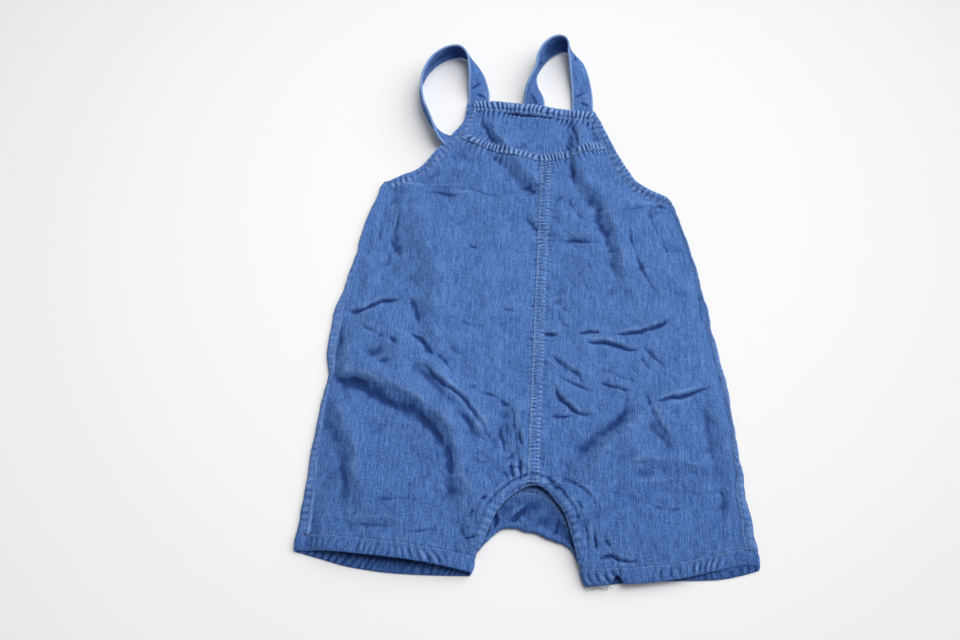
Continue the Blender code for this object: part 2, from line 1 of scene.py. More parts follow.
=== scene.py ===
"""The finished look of a child's suspender shorts in chambray denim, laid flat with the front up.

Frame: metres, +Z up, the surface they lie on is z = 0. +Y runs up the garment from the leg hems to
the straps, x = 0 is the seam down the front, and +X is the wearer's left. The tables are in millimetres.
"""

import math
from collections import namedtuple

import bmesh
import bpy
import numpy as np
from bpy.props import FloatProperty, FloatVectorProperty, PointerProperty
from mathutils import Matrix, Vector


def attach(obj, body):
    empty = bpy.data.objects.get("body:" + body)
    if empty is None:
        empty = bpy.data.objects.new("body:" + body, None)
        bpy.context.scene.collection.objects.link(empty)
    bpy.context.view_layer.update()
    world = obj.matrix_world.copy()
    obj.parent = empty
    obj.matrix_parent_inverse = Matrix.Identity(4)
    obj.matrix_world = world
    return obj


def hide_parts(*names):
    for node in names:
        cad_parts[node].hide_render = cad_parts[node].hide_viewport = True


bl_info = {
    "name": "Suspender shorts",
    "version": (1, 0, 0),
    "blender": (4, 5, 0),
    "location": "3D View > Sidebar > Shorts",
    "description": "Builds a child's denim suspender shorts, laid flat, piece by piece",
    "category": "Add Mesh",
}

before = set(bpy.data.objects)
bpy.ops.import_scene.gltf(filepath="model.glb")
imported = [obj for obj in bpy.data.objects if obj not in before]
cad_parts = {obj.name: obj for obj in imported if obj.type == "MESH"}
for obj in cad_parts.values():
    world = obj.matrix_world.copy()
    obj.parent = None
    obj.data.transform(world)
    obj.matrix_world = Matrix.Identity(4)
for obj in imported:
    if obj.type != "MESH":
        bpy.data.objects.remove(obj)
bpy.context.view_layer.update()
MM = 0.001

# Walls of the cloth, in millimetres
CLOTH = 1.2             # from the front panels' underside to their face
PANEL_WALL = 0.9
STRIP_WALL = 0.7

# Widths of strips and bands
HEM_DEPTH = 13.0
ARMHOLE_BAND = 9.0
STRAP_WIDTH = 20.5
NOTCH_X = 72.0          # where the wearer's left hem has rucked up at its edge, how far and how wide
NOTCH_RISE = 7.5
NOTCH_REACH = 4.0
CROTCH_STITCH = 8.6     # how far in the crotch edge is stitched
GAP = 0.3
CURVE_GAP = 0.55
TUCK = 1.6              # how far a sheet goes in under the strip sewn over its edge
LOWEST = 0.15           # how near the floor a face of the cloth comes
CURVE_STEPS = 12        # points that a smooth outline has for each row of its table

# The side seams, from the hem up: the outer edge and how wide the felled strip shows beside it.
Side = namedtuple("Side", "y x strip")
SIDE_RIGHT = (
    Side(-214, -180.0, 10.0), Side(-199, -179.5, 10.0), Side(-165, -178.0, 8.0),
    Side(-120, -176.0, 5.0), Side(-82, -173.5, 3.5), Side(-62, -171.0, 3.5),
    Side(-42, -174.0, 7.0), Side(0, -172.5, 7.5), Side(24, -167.0, 6.0),
    Side(60, -160.5, 3.5), Side(100, -154.0, 3.0), Side(128, -145.8, 3.0),
    Side(134, -144.0, 3.0), Side(137.5, -141.5, 3.0),
)
SIDE_LEFT = (
    Side(-207, 183.0, 10.0), Side(-192, 182.0, 10.0), Side(-160, 177.0, 8.0),
    Side(-120, 172.0, 5.0), Side(-82, 167.5, 3.0), Side(-50, 163.0, 4.5),
    Side(-30, 158.5, 4.5), Side(0, 153.0, 3.5), Side(30, 147.0, 3.0),
    Side(60, 141.5, 3.0), Side(100, 130.0, 3.0), Side(119, 123.6, 3.0),
    Side(126, 121.4, 3.0), Side(130, 118.0, 3.0),
)

# The armholes' outer edges, from the side seam up to the bib's top corner.
Edge = namedtuple("Edge", "x y")
ARMHOLE_FRONT_RIGHT = (
    Edge(-143.0, 136.0), Edge(-129.0, 143.0), Edge(-116.0, 150.0), Edge(-105.0, 161.0),
    Edge(-92.0, 178.0), Edge(-81.0, 194.0), Edge(-75.0, 206.0), Edge(-73.0, 218.0), Edge(-72.5, 230.0),
)
ARMHOLE_FRONT_LEFT = (
    Edge(120.5, 127.5), Edge(115.0, 134.0), Edge(100.0, 141.0), Edge(88.0, 149.0), Edge(78.0, 164.0),
    Edge(69.0, 182.0), Edge(60.0, 201.0), Edge(53.5, 216.0), Edge(48.5, 226.0),
)
ARMHOLE_BACK_RIGHT = (
    Edge(-142.0, 135.5), Edge(-124.0, 139.0), Edge(-107.0, 146.0), Edge(-92.0, 158.0), Edge(-81.0, 175.0),
)
ARMHOLE_BACK_LEFT = (
    Edge(119.0, 127.0), Edge(103.0, 130.0), Edge(86.0, 138.0), Edge(72.0, 152.0), Edge(62.0, 171.0),
)

# Leg hems, outer corner to inner corner: the folded edge of the front and of the back.
Hem = namedtuple("Hem", "x front back")
HEM_RIGHT = (
    Hem(-180.0, -213.5, -213.5), Hem(-160.0, -213.5, -218.0), Hem(-138.0, -215.0, -223.0),
    Hem(-110.0, -216.5, -226.0), Hem(-85.0, -218.5, -226.5), Hem(-62.0, -221.0, -226.0),
    Hem(-40.0, -224.0, -225.0),
)
HEM_LEFT = (
    Hem(183.0, -204.5, -207.5), Hem(168.0, -205.0, -212.6), Hem(150.0, -210.3, -216.8),
    Hem(120.0, -219.5, -219.5), Hem(90.0, -225.0, -222.0), Hem(64.0, -228.0, -226.0),
    Hem(47.5, -229.0, -228.5),
)

# The front's crotch edge, from the wearer's right hem round to the left one.
CROTCH_FRONT = (
    Edge(-37.5, -208.5), Edge(-33.0, -199.0), Edge(-26.0, -180.0), Edge(-20.0, -169.0),
    Edge(-13.0, -160.5), Edge(-4.0, -154.0), Edge(5.0, -151.0), Edge(14.0, -153.5), Edge(23.0, -162.5),
    Edge(31.0, -174.0), Edge(36.5, -190.0), Edge(40.0, -202.0), Edge(43.0, -213.0),
)

# The back's seat folds up between the legs: where it folds, where its upper seam lies, how high it is.
Rise = namedtuple("Rise", "fold_x fold_y seam_x seam_y top")
SEAT_RISE = (
    Rise(-37.5, -208.5, -42.0, -205.0, 3.8), Rise(-33.5, -201.5, -37.0, -190.0, 4.4),
    Rise(-27.0, -194.0, -28.0, -176.0, 5.4), Rise(-18.5, -187.5, -19.0, -166.0, 6.0),
    Rise(-9.0, -185.0, -9.5, -160.5, 6.2), Rise(2.0, -187.5, 1.0, -158.5, 6.2),
    Rise(13.0, -190.5, 12.0, -160.5, 6.2), Rise(22.0, -193.5, 21.5, -167.0, 6.0),
    Rise(30.0, -196.5, 29.5, -179.0, 5.4), Rise(37.0, -201.5, 38.0, -194.0, 4.4),
    Rise(42.0, -211.5, 47.0, -208.5, 3.8),
)
ROLL_RADIUS = 2.2       # of the turn at a hem's end and at the seat's fold

# The seam under the yoke and the casing's lower edge, wearer's right to left.
YOKE_SEAM = (
    Edge(-90.0, 191.0), Edge(-77.0, 185.0), Edge(-59.0, 178.0), Edge(-38.0, 170.0), Edge(-18.0, 165.5),
    Edge(0.0, 163.5), Edge(17.0, 166.0), Edge(33.0, 171.5), Edge(47.0, 178.5), Edge(61.0, 185.0),
    Edge(75.0, 191.0),
)
CASING_LOWER = (
    Edge(-75.0, 220.5), Edge(-41.0, 221.0), Edge(-10.0, 219.0), Edge(16.0, 216.0), Edge(50.0, 213.0),
)

# The back's top edge, wearer's right to left.
BACK_NECK = (
    Edge(-81.0, 175.0), Edge(-45.0, 171.0), Edge(-10.0, 169.5), Edge(30.0, 170.0), Edge(62.0, 171.0),
)

# How high the front's underside lies: at its outer edge, at its inner edge, and its hump between them.
Lift = namedtuple("Lift", "y outer hump inner")
LIFT_RIGHT = (
    Lift(-228, 2.3, 10.5, 5.6), Lift(-212, 2.3, 9.0, 6.0), Lift(-180, 2.2, 6.5, 7.6),
    Lift(-150, 2.0, 4.0, 8.6), Lift(-80, 1.8, 3.5, 6.2), Lift(0, 1.8, 4.0, 5.6), Lift(100, 1.8, 4.0, 5.6),
    Lift(130, 2.4, 3.6, 5.8), Lift(158, 6.6, 2.0, 6.0), Lift(173, 10.0, 0.8, 6.0),
    Lift(190, 9.8, 0.4, 6.0), Lift(209, 6.6, 0.2, 5.2), Lift(232, 4.4, 0.0, 4.4),
)
LIFT_LEFT = (
    Lift(-230, 2.3, 4.5, 5.6), Lift(-215, 2.3, 4.5, 6.0), Lift(-180, 2.2, 4.0, 7.6),
    Lift(-150, 2.0, 3.5, 8.6), Lift(-80, 1.8, 3.5, 6.2), Lift(0, 1.8, 4.0, 5.6), Lift(100, 1.8, 4.0, 5.6),
    Lift(125, 2.4, 3.6, 5.8), Lift(165, 3.4, 2.4, 6.0), Lift(188, 4.0, 1.6, 6.0),
    Lift(210, 4.2, 0.6, 5.2), Lift(232, 4.4, 0.0, 4.4),
)
LEAST_LIFT = 1.6
HUMP_FULLNESS = 0.8     # below 1 the hump is flatter on top

# The straps' middle lines from the bib to the back. turn is 0 where the strap's face is up, 90 where
# it stands on its edge and 180 where its other face is up; lift is the gap under its lowest edge.
Bend = namedtuple("Bend", "x y lift turn")
STRAP_PATH_RIGHT = (
    Bend(-61.5, 223.0, 1.6, 0.0), Bend(-61.5, 236.0, 1.0, 4.0), Bend(-63.0, 250.0, 0.3, 22.0),
    Bend(-66.5, 265.0, 0.3, 46.0), Bend(-72.0, 278.0, 0.3, 68.0), Bend(-82.0, 287.0, 0.3, 84.0),
    Bend(-95.0, 284.0, 0.3, 90.0), Bend(-107.0, 274.0, 0.3, 89.0), Bend(-115.0, 259.0, 0.3, 87.0),
    Bend(-117.0, 243.0, 0.3, 87.0), Bend(-114.0, 224.0, 0.3, 90.0), Bend(-107.5, 207.0, 0.3, 93.0),
    Bend(-100.5, 196.0, 0.3, 106.0), Bend(-91.0, 187.0, 0.3, 140.0), Bend(-79.0, 181.0, 1.4, 174.0),
    Bend(-64.0, 174.0, 2.6, 180.0), Bend(-46.0, 164.0, 2.4, 180.0),
)
STRAP_PATH_LEFT = (
    Bend(37.5, 219.0, 1.6, 0.0), Bend(37.0, 233.0, 1.0, 4.0), Bend(36.0, 250.0, 0.4, 12.0),
    Bend(33.0, 268.0, 0.4, 24.0), Bend(28.5, 286.0, 0.4, 48.0), Bend(21.5, 299.0, 0.4, 84.0),
    Bend(12.0, 302.0, 0.4, 112.0), Bend(2.0, 295.0, 0.4, 112.0), Bend(-5.0, 282.0, 0.4, 100.0),
    Bend(-8.5, 267.0, 0.4, 92.0), Bend(-10.0, 254.0, 0.4, 112.0), Bend(-9.5, 243.0, 0.4, 150.0),
    Bend(-9.0, 236.0, 0.4, 171.0), Bend(-8.5, 230.0, 0.4, 180.0), Bend(-4.0, 214.0, 1.0, 180.0),
    Bend(4.0, 192.0, 1.8, 180.0), Bend(10.0, 178.0, 2.4, 180.0), Bend(14.0, 163.0, 2.4, 180.0),
)


# The front's creases. dip is how deep the crease is (below 0 it is a ridge), step how far the cloth on
# the left of its path stands above the right, reach its half width, and path runs along it.
Crease = namedtuple("Crease", "dip step reach path")
CREASES = (
    # The wearer's right: the crease at the side seam, the folds at the hip and the long diagonal.
    Crease(3.0, 0.5, 3.8, ((-165, 0), (-150, 0), (-138, 7), (-125, 12), (-113, 13))),
    Crease(-0.6, 0, 3.0, ((-155, -6), (-134, 4))),
    Crease(-0.5, 0, 2.2, ((-163, -8), (-160, -26), (-153, -44))),
    Crease(1.5, 0, 2.5, ((-167, -8), (-162, -38))),
    Crease(0.8, 0, 3.0, ((-151, 85), (-148, 65))),
    Crease(0.8, 0, 3.8, ((-134, 80), (-118, 54))),
    Crease(0.6, 0, 3.8, ((-111, 24), (-103, 4), (-96, -16))),
    Crease(2.0, 0, 3.2, ((-110, -20), (-93, -28), (-82, -45))),
    Crease(1.5, 0, 2.4, ((-124, -24), (-114, -35))),
    Crease(2.6, 0, 2.4, ((-95, -45), (-80, -62), (-57, -80), (-42, -98), (-28, -118))),
    Crease(0.8, 0, 3.8, ((-158, -60), (-118, -76), (-78, -92))),
    Crease(1.2, 0, 3.0, ((-78, -106), (-68, -122))),
    Crease(1.3, 0, 3.8, ((-66, -118), (-60, -152))),
    Crease(0.5, 0, 3.8, ((-151, -104), (-144, -128), (-143, -148))),
    Crease(0.5, 0, 3.8, ((-125, -170), (-80, -168))),
    Crease(1.0, 0, 3.8, ((-46, -72), (-30, -76), (-12, -88))),
    Crease(1.8, 0, 2.5, ((-9, -100), (-5, -121))),
    # Below the yoke, and beside the seam down the middle.
    Crease(0.5, 0, 2.0, ((-130, 135), (-75, 131), (-20, 118))),
    Crease(-0.5, 0, 1.6, ((-50, 122), (-55, 97))),
    Crease(1.2, 0, 2.0, ((-14, 136), (-3, 129))),
    Crease(0.8, 0, 3.0, ((-11, 104), (-1, 91))),
    Crease(0.8, 0, 3.2, ((-32, 8), (-10, 6))),
    Crease(0.6, 0, 3.8, ((-66, -2), (-52, -12))),
    Crease(0.6, 0, 3.2, ((-62, 71), (-51, 65))),
    Crease(2.6, 0, 2.0, ((-41, 219.5), (-20, 218), (16, 214.5))),
    Crease(1.8, 0, 3.5, ((28, 217), (31, 196), (34, 180))),
    Crease(0.7, 0, 3.2, ((38, 217), (46, 205))),
    Crease(1.2, 0, 3.2, ((28, 163), (32, 138))),
    # By the leg openings and above the hems.
    Crease(1.6, 0, 2.0, ((-16, -136), (-8, -137), (-1, -134))),
    Crease(-0.8, 0, 1.6, ((-142, -187), (-118, -185), (-96, -186))),
    Crease(0.7, 0, 3.2, ((-138, -192), (-98, -191))),
    Crease(1.4, 0, 3.0, ((-165, -178), (-168, -196))),
    Crease(0.7, 0, 3.0, ((-98, -196), (-66, -193))),
    Crease(1.5, 0, 2.0, ((-37, -167), (-31, -163))),
    Crease(1.6, 0, 1.8, ((-48, -198), (-36, -195))),
    Crease(0.7, 0, 3.0, ((-50, -186), (-44, -204))),
    Crease(0.8, 0, 3.0, ((-40, -172), (-44, -184))),
    Crease(1.4, 0, 1.8, ((52, -180), (57, -204))),
    Crease(1.3, 0, 1.8, ((45, -176), (51, -206))),
    Crease(-0.6, 0, 2.2, ((50, -178), (54, -197))),
    Crease(1.2, 0, 2.0, ((61, -189), (68, -202))),
    Crease(1.0, 0, 3.0, ((39, -161), (45, -172))),
    Crease(2.2, 0, 2.0, ((57, -209), (65, -205), (75, -208), (90, -209))),
    Crease(-0.5, 0, 2.5, ((138, -198), (170, -192))),
    # The wearer's left: the two pleats across it, the hooked crease and the one at the hip.
    Crease(2.2, 0.6, 2.0, ((5, -13), (22, -13))),
    Crease(1.8, 0.7, 2.2, ((36, -11), (60, -8))),
    Crease(2.4, 1.1, 2.8, ((66, -11), (84, -7), (102, -2), (117, 8))),
    Crease(3.4, 1.2, 2.8, ((41, -18), (64, -19), (78, -23), (90, -24))),
    Crease(-0.5, 0, 2.2, ((56, -15), (84, -17))),
    Crease(0.8, 0, 3.5, ((20, 15), (24, -2), (36, -9))),
    Crease(0.8, 0, 3.2, ((16, -32), (33, -52))),
    Crease(2.4, 0.5, 2.8, ((18, -61), (28, -76), (38, -85), (50, -86))),
    Crease(1.2, 0, 2.0, ((15, -90), (36, -88))),
    Crease(2.6, 0.8, 3.4, ((100, -74), (125, -64), (155, -52))),
    Crease(1.3, 0, 3.2, ((95, -63), (101, -85), (118, -108))),
    Crease(1.0, 0, 3.2, ((91, -26), (98, -45))),
    Crease(-0.7, 0, 9.0, ((90, -98), (68, -124))),
    Crease(0.7, 0, 3.8, ((80, -131), (100, -125))),
    Crease(0.7, 0, 3.8, ((147, -110), (160, -113))),
    Crease(0.6, 0, 3.8, ((67, 50), (85, 38))),
    Crease(0.7, 0, 3.8, ((98, 124), (108, 92), (118, 62))),
    Crease(1.0, 0, 3.5, ((103, 128), (118, 119))),
    Crease(2.2, 0, 2.6, ((142, 40), (143, 22), (145, 4))),
    # Softer ones all over the front.
    Crease(1.6, 0, 2.0, ((-16, -78), (-11, -108), (-8, -132))),
    Crease(1.2, 0, 2.0, ((-25, -100), (-18, -127))),
    Crease(1.0, 0, 3.0, ((6, -32), (28, -42), (48, -62))),
    Crease(0.9, 0, 2.6, ((15, -50), (55, -67))),
    Crease(1.1, 0, 3.0, ((54, -55), (88, -65))),
    Crease(0.9, 0, 2.6, ((54, -43), (90, -56))),
    Crease(0.9, 0, 2.6, ((90, -16), (114, -44))),
    Crease(1.2, 0, 3.4, ((-148, 98), (-138, 68))),
    Crease(1.0, 0, 3.0, ((-154, -10), (-117, -32))),
    Crease(1.0, 0, 2.8, ((26, -142), (46, -153), (58, -170))),
    Crease(0.8, 0, 3.0, ((90, -159), (110, -164), (130, -160))),
    # The tight ones beside the crotch's top.
    Crease(2.6, 0.8, 1.7, ((-6.5, -126), (-5.8, -138), (-5.4, -150))),
    Crease(-1.4, 0, 1.8, ((-10.5, -131), (-9, -140), (-8.2, -149))),
    Crease(1.8, 0.6, 1.6, ((-14.5, -133), (-12, -141), (-10.8, -149))),
    Crease(1.2, 0, 1.8, ((-20, -138), (-17, -145), (-15, -152))),
    Crease(1.0, 0, 2.0, ((14, -140), (19, -147), (25, -158))),
    # Long soft troughs, and the faint ridges between the folds.
    Crease(-0.6, 0, 1.4, ((10, -21), (18, -33), (38, -46), (56, -56))),
    Crease(1.1, 0, 3.4, ((80, 108), (88, 65), (115, 12))),
    Crease(0.9, 0, 3.6, ((-124, 112), (-126, 80), (-118, 50))),
    Crease(0.8, 0, 2.6, ((20, 81), (60, 80))),
    Crease(0.9, 0, 2.6, ((-86, -36), (-72, -48), (-63, -62))),
    Crease(-0.5, 0, 1.4, ((58, 7), (75, 10), (94, 13), (110, 21))),
    Crease(-0.5, 0, 1.4, ((66, -88), (83, -99), (98, -107))),
    Crease(-0.5, 0, 1.3, ((98, 62), (110, 46), (117, 29))),
    Crease(-0.5, 0, 1.4, ((22, 96), (34, 84), (50, 79))),
    Crease(-0.5, 0, 1.3, ((116, -118), (131, -124), (148, -122))),
    Crease(-0.5, 0, 1.4, ((-82, 2), (-62, -5), (-41, -8))),
    Crease(-0.6, 0, 1.4, ((-141, -91), (-121, -101), (-96, -104))),
    Crease(-0.5, 0, 1.4, ((-62, -58), (-46, -65), (-28, -65))),
    Crease(-0.5, 0, 1.3, ((-112, 92), (-101, 76), (-96, 58))),
    Crease(-0.5, 0, 1.3, ((-90, -128), (-79, -141), (-73, -158))),
)
# The creases of the seat's cloth, which shows below the crotch.
SEAT_CREASES = (
    Crease(1.6, 1.0, 1.8, ((-24.5, -171), (-22.5, -180), (-24.5, -190))),
    Crease(-1.0, 0, 1.6, ((-28, -175), (-27, -184), (-27.5, -191))),
    Crease(1.8, 0.6, 3.4, ((-15, -187), (-8, -176), (3, -166))),
    Crease(-1.2, 0, 3.4, ((-9, -168), (-4, -178), (0, -189))),
    Crease(1.2, 0, 2.6, ((18, -194), (24, -185.5), (26.5, -174))),
)

# The straps' creases, by distance from the middle line and distance along from the bib.
STRAP_CREASES = (
    Crease(0.8, 0.3, 2.3, ((-9, 12), (-3, 17), (4, 20))),
    Crease(0.6, 0, 2.1, ((9, 21), (3, 27), (-5, 31))),
    Crease(0.5, 0, 2.8, ((8, 62), (1, 67), (-4, 75))),
    Crease(0.5, 0, 3.0, ((-8, 118), (-2, 124), (3, 133))),
    Crease(0.6, 0, 2.5, ((7, 158), (0, 163), (-5, 172))),
    Crease(0.5, 0, 2.8, ((-8, 199), (0, 206), (5, 216))),
)

# The front's broad folds: height of the crest along the path, how far it falls away steeply on the
# path's right and gently on its left.
Lap = namedtuple("Lap", "height steep gentle path")
LAPS = (
    Lap(7.0, 8, 30, ((-170, -53), (-140, -67), (-100, -84), (-70, -108))),
    Lap(4.2, 8, 24, ((-77, -97), (-60, -130), (-52, -170))),
    Lap(4.0, 13, 34, ((-110, 115), (-98, 40), (-84, -30))),
    Lap(4.6, 6, 17, ((-90, -52), (-62, -82), (-35, -110))),
    Lap(4.4, 8, 22, ((30, 210), (35, 145), (60, 118), (68, 75), (76, 42))),
    Lap(4.6, 8, 16, ((-44, 180), (-25, 155), (0, 130))),
    Lap(3.2, 5, 12, ((-55, 210), (-45, 192), (-34, 174))),
    Lap(5.0, 11, 32, ((100, -70), (72, -100), (42, -130))),
    Lap(4.0, 9, 20, ((-165, -90), (-148, -125), (-135, -175))),
    Lap(3.0, 18, 22, ((-152, -28), (-125, -35), (-104, -52))),
    Lap(2.8, 12, 12, ((-128, 110), (-118, 75), (-115, 40))),
    Lap(3.0, 7, 14, ((98, -82), (123, -112))),
    Lap(2.6, 7, 16, ((80, -135), (110, -127), (145, -124))),
    Lap(2.4, 6, 12, ((-12, 106), (15, 86), (50, 86))),
    Lap(2.4, 7, 14, ((150, -70), (161, -115), (163, -170))),
    Lap(2.4, 7, 14, ((-177, -165), (-172, -188), (-175, -210))),
    Lap(2.6, 7, 16, ((-18, -80), (-10, -110), (-8, -140))),
    Lap(3.4, 6.0, 16.0, CROTCH_FRONT),
)

CROTCH_CREASE = Crease(0.9, 0.8, 1.8, None)     # along the crotch edge's stitching
CREASE_DEPTH = 1.15     # what every crease's depth is multiplied by
LIP_REACH = 4.6         # how far the slope above a crease runs, in the crease's own reach
FOOT_REACH = 1.8        # and how far the one below it runs

# The cloth's unevenness, soft and crumpled: height, size across, and which random sheet it takes.
RIPPLES = ((2.20, 60.0, 1), (0.80, 27.0, 2), (0.24, 12.0, 3), (0.10, 5.0, 4))
CRUMPLES = ((1.25, 38.0, 11), (-0.75, 21.0, 14), (-0.40, 10.0, 18), (0.40, 12.0, 22))

# The seams that gather the front's cloth: path, distance between gathers, their height and reach.
Gather = namedtuple("Gather", "path period rise reach")
GATHERS = (
    Gather(YOKE_SEAM, 4.4, 1.20, 9.0),
    Gather(((0.0, -150.0), (0.0, 0.0), (0.0, 163.0)), 5.0, 0.50, 6.0),
    Gather(((9.0, -150.0), (9.0, 0.0), (9.0, 163.0)), 5.0, 0.50, 6.0),
    Gather(CROTCH_FRONT, 6.0, 0.75, 8.0),
    Gather(CASING_LOWER, 4.6, 1.50, 7.0),
    Gather(tuple((edge.x, edge.front + HEM_DEPTH) for edge in HEM_RIGHT), 7.0, 0.60, 6.0),
    Gather(tuple((edge.x, edge.front + HEM_DEPTH) for edge in HEM_LEFT), 7.0, 0.60, 6.0),
    Gather(tuple((edge.x + 9.0, edge.y - 3.0) for edge in ARMHOLE_FRONT_RIGHT), 6.0, 0.50, 6.0),
    Gather(tuple((edge.x - 9.0, edge.y - 4.0) for edge in ARMHOLE_FRONT_LEFT), 6.0, 0.50, 6.0),
)


# --- Curves ---------------------------------------------------------------------------------------

def smooth(rows, steps=CURVE_STEPS):
    """Points along a smooth curve through a table's rows, with all its columns."""
    ends = np.asarray(rows, float)
    knots = np.vstack([2 * ends[0] - ends[1], ends, 2 * ends[-1] - ends[-2]])
    points = []
    for before, start, end, after in zip(knots, knots[1:], knots[2:], knots[3:]):
        for part in np.arange(steps) / steps:
            bend = (end - before) * part + (2 * before - 5 * start + 4 * end - after) * part ** 2
            bend += (3 * start - before - 3 * end + after) * part ** 3
            points.append(start + bend / 2)
    points.append(ends[-1])
    return np.array(points)


def length_of(path):
    """Distance along a path in plan, at each of its points."""
    return np.concatenate([[0.0], np.cumsum(np.hypot(*np.diff(path[:, :2], axis=0).T))])


def travelled(path):
    """Distance along a path in space, at each of its points."""
    return np.concatenate([[0.0], np.cumsum(np.linalg.norm(np.diff(path, axis=0), axis=1))])


def evenly(path, count):
    """The same path with this many points, evenly spaced along it in plan."""
    along = length_of(path)
    stations = np.linspace(0.0, along[-1], count)
    return np.column_stack([np.interp(stations, along, column) for column in path.T])


def direction(path):
    run = np.gradient(path[:, :2], axis=0)
    return run / np.hypot(*run.T)[:, None]


def moved_aside(path, distance):
    """The path moved to the left of its own direction, in plan."""
    run = direction(path)
    aside = path.copy()
    aside[:, 0] -= run[:, 1] * distance
    aside[:, 1] += run[:, 0] * distance
    return aside


def x_at(path, y):
    order = np.argsort(path[:, 1])
    return np.interp(y, path[order, 1], path[order, 0])


def y_at(path, x):
    order = np.argsort(path[:, 0])
    return np.interp(x, path[order, 0], path[order, 1])


def meet(edge, line, x=0.0):
    """Where a line that runs across the garment reaches an edge that runs up it."""
    for _ in range(6):
        x = x_at(edge, y_at(line, x))
    return x


def mix(start, end, part):
    return start + (end - start) * part


def ease(part):
    """0 to 1 with a soft start and end."""
    part = np.clip(part, 0.0, 1.0)
    return part * part * (3.0 - 2.0 * part)


CELLS = 64              # after how many hills a random sheet repeats
SHEET_START = 900.0     # keeps places on the sheet above zero


def hills(x, y, size, seed):
    """Soft random hills from -1 to 1, about this size in millimetres, in rows that lie aslant."""
    table = np.random.default_rng(seed).uniform(-1.0, 1.0, (CELLS, CELLS))
    u, v = (0.8 * x + 0.6 * y) / size + SHEET_START, (0.8 * y - 0.6 * x) / size + SHEET_START
    i, j = np.floor(u).astype(int), np.floor(v).astype(int)
    a, b = ease(u - i), ease(v - j)
    left, right, near, far = i % CELLS, (i + 1) % CELLS, j % CELLS, (j + 1) % CELLS
    low = mix(table[left, near], table[right, near], a)
    high = mix(table[left, far], table[right, far], a)
    return mix(low, high, b)


def ridges(along, aside, period, seed):
    """Gathers that cross a seam: uneven ridges and valleys, about a period apart along it."""
    u = along / period + 0.9 * hills(along, aside, 4.0 * period, seed)
    wave = 2.0 * np.abs(np.sin(math.pi * u)) ** 0.7 - 1.3
    strength = 0.75 + 0.5 * hills(along, 0.3 * aside, 2.2 * period, seed + 1)
    return wave * strength + 0.35 * hills(2.0 * along, 0.4 * aside, period, seed + 2)


# --- The garment's outline ------------------------------------------------------------------------

class Half:
    """One side of the garment. out is -1 on the wearer's right and +1 on the left."""

    def __init__(self, name, out, side, armhole, back_armhole, hem, lift):
        self.name = name
        self.out = out
        rows = smooth(side)
        uneven = 0.9 * hills(rows[:, 0], 0.0 * rows[:, 0], 15.0, 81 + out)
        uneven += 0.5 * hills(rows[:, 0], 9.0, 6.0, 84 + out)
        self.side = np.column_stack([rows[:, 1] + uneven, rows[:, 0], rows[:, 2]])
        self.armhole = smooth(armhole)
        self.back_armhole = smooth(back_armhole)
        self.hem = smooth(hem)
        self.lift = smooth(lift)
        seam = self.side[:, :2].copy()
        seam[:, 0] -= out * (self.side[:, 2] + CURVE_GAP)
        self.edge = self.joined(seam, self.inside(self.armhole, ARMHOLE_BAND + CURVE_GAP))
        self.back_edge = self.joined(seam, self.inside(self.back_armhole, ARMHOLE_BAND + CURVE_GAP))

    def inside(self, path, distance):
        """A path that runs up the garment, moved in from the side."""
        return moved_aside(path, distance * self.out)

    def joined(self, seam, armhole):
        """A panel's outer edge: up the side seam, then on inside the armhole strip and past its end."""
        beyond = armhole[-1] + (armhole[-1] - armhole[-2]) * CURVE_STEPS
        corner = self.armhole[0, 1] - CURVE_GAP
        return np.vstack([seam[seam[:, 1] < corner], armhole[armhole[:, 1] > corner], beyond])

    def hem_y(self, x, column, depth):
        """How far up the hem's folded edge or its stitch line is, on the front (1) or back (2)."""
        rucked = NOTCH_RISE * np.exp(-((x - NOTCH_X) / NOTCH_REACH) ** 2) * max(0.0, 1.0 - depth / HEM_DEPTH)
        return y_at(self.hem[:, (0, column)], x) + depth + (rucked if self.out == column else 0.0)


RIGHT = Half("right", -1, SIDE_RIGHT, ARMHOLE_FRONT_RIGHT, ARMHOLE_BACK_RIGHT, HEM_RIGHT, LIFT_RIGHT)
LEFT = Half("left", 1, SIDE_LEFT, ARMHOLE_FRONT_LEFT, ARMHOLE_BACK_LEFT, HEM_LEFT, LIFT_LEFT)

CROTCH = smooth(CROTCH_FRONT)
CROTCH_TOP = CROTCH[:, 1].argmax()
SEAM_UNDER_YOKE = smooth(YOKE_SEAM)
CASING_LOW = smooth(CASING_LOWER)
NECK = smooth(BACK_NECK)


def inner_x(half, y):
    """A front panel's inner edge: the seam down the front, or the crotch edge below it."""
    own = CROTCH[CROTCH_TOP:] if half is LEFT else CROTCH[:CROTCH_TOP + 1]
    return np.where(y < CROTCH[CROTCH_TOP, 1], x_at(own, y), half.out * GAP / 2)


def lift(x, y):
    """Height of the underside of the front's cloth above the surface, before its creases."""
    height = np.empty(np.shape(x))
    for half in (RIGHT, LEFT):
        own = (x > 0.0) == (half is LEFT)
        outer, hump, inner = [np.interp(y[own], half.lift[:, 0], half.lift[:, k]) for k in (1, 2, 3)]
        start = x_at(half.edge, y[own])
        across = np.clip((x[own] - start) / (inner_x(half, y[own]) - start), 0.0, 1.0)
        height[own] = mix(outer, inner, across) + hump * np.sin(math.pi * across) ** HUMP_FULLNESS
    return height


# --- Creases, ripples and gathers -----------------------------------------------------------------

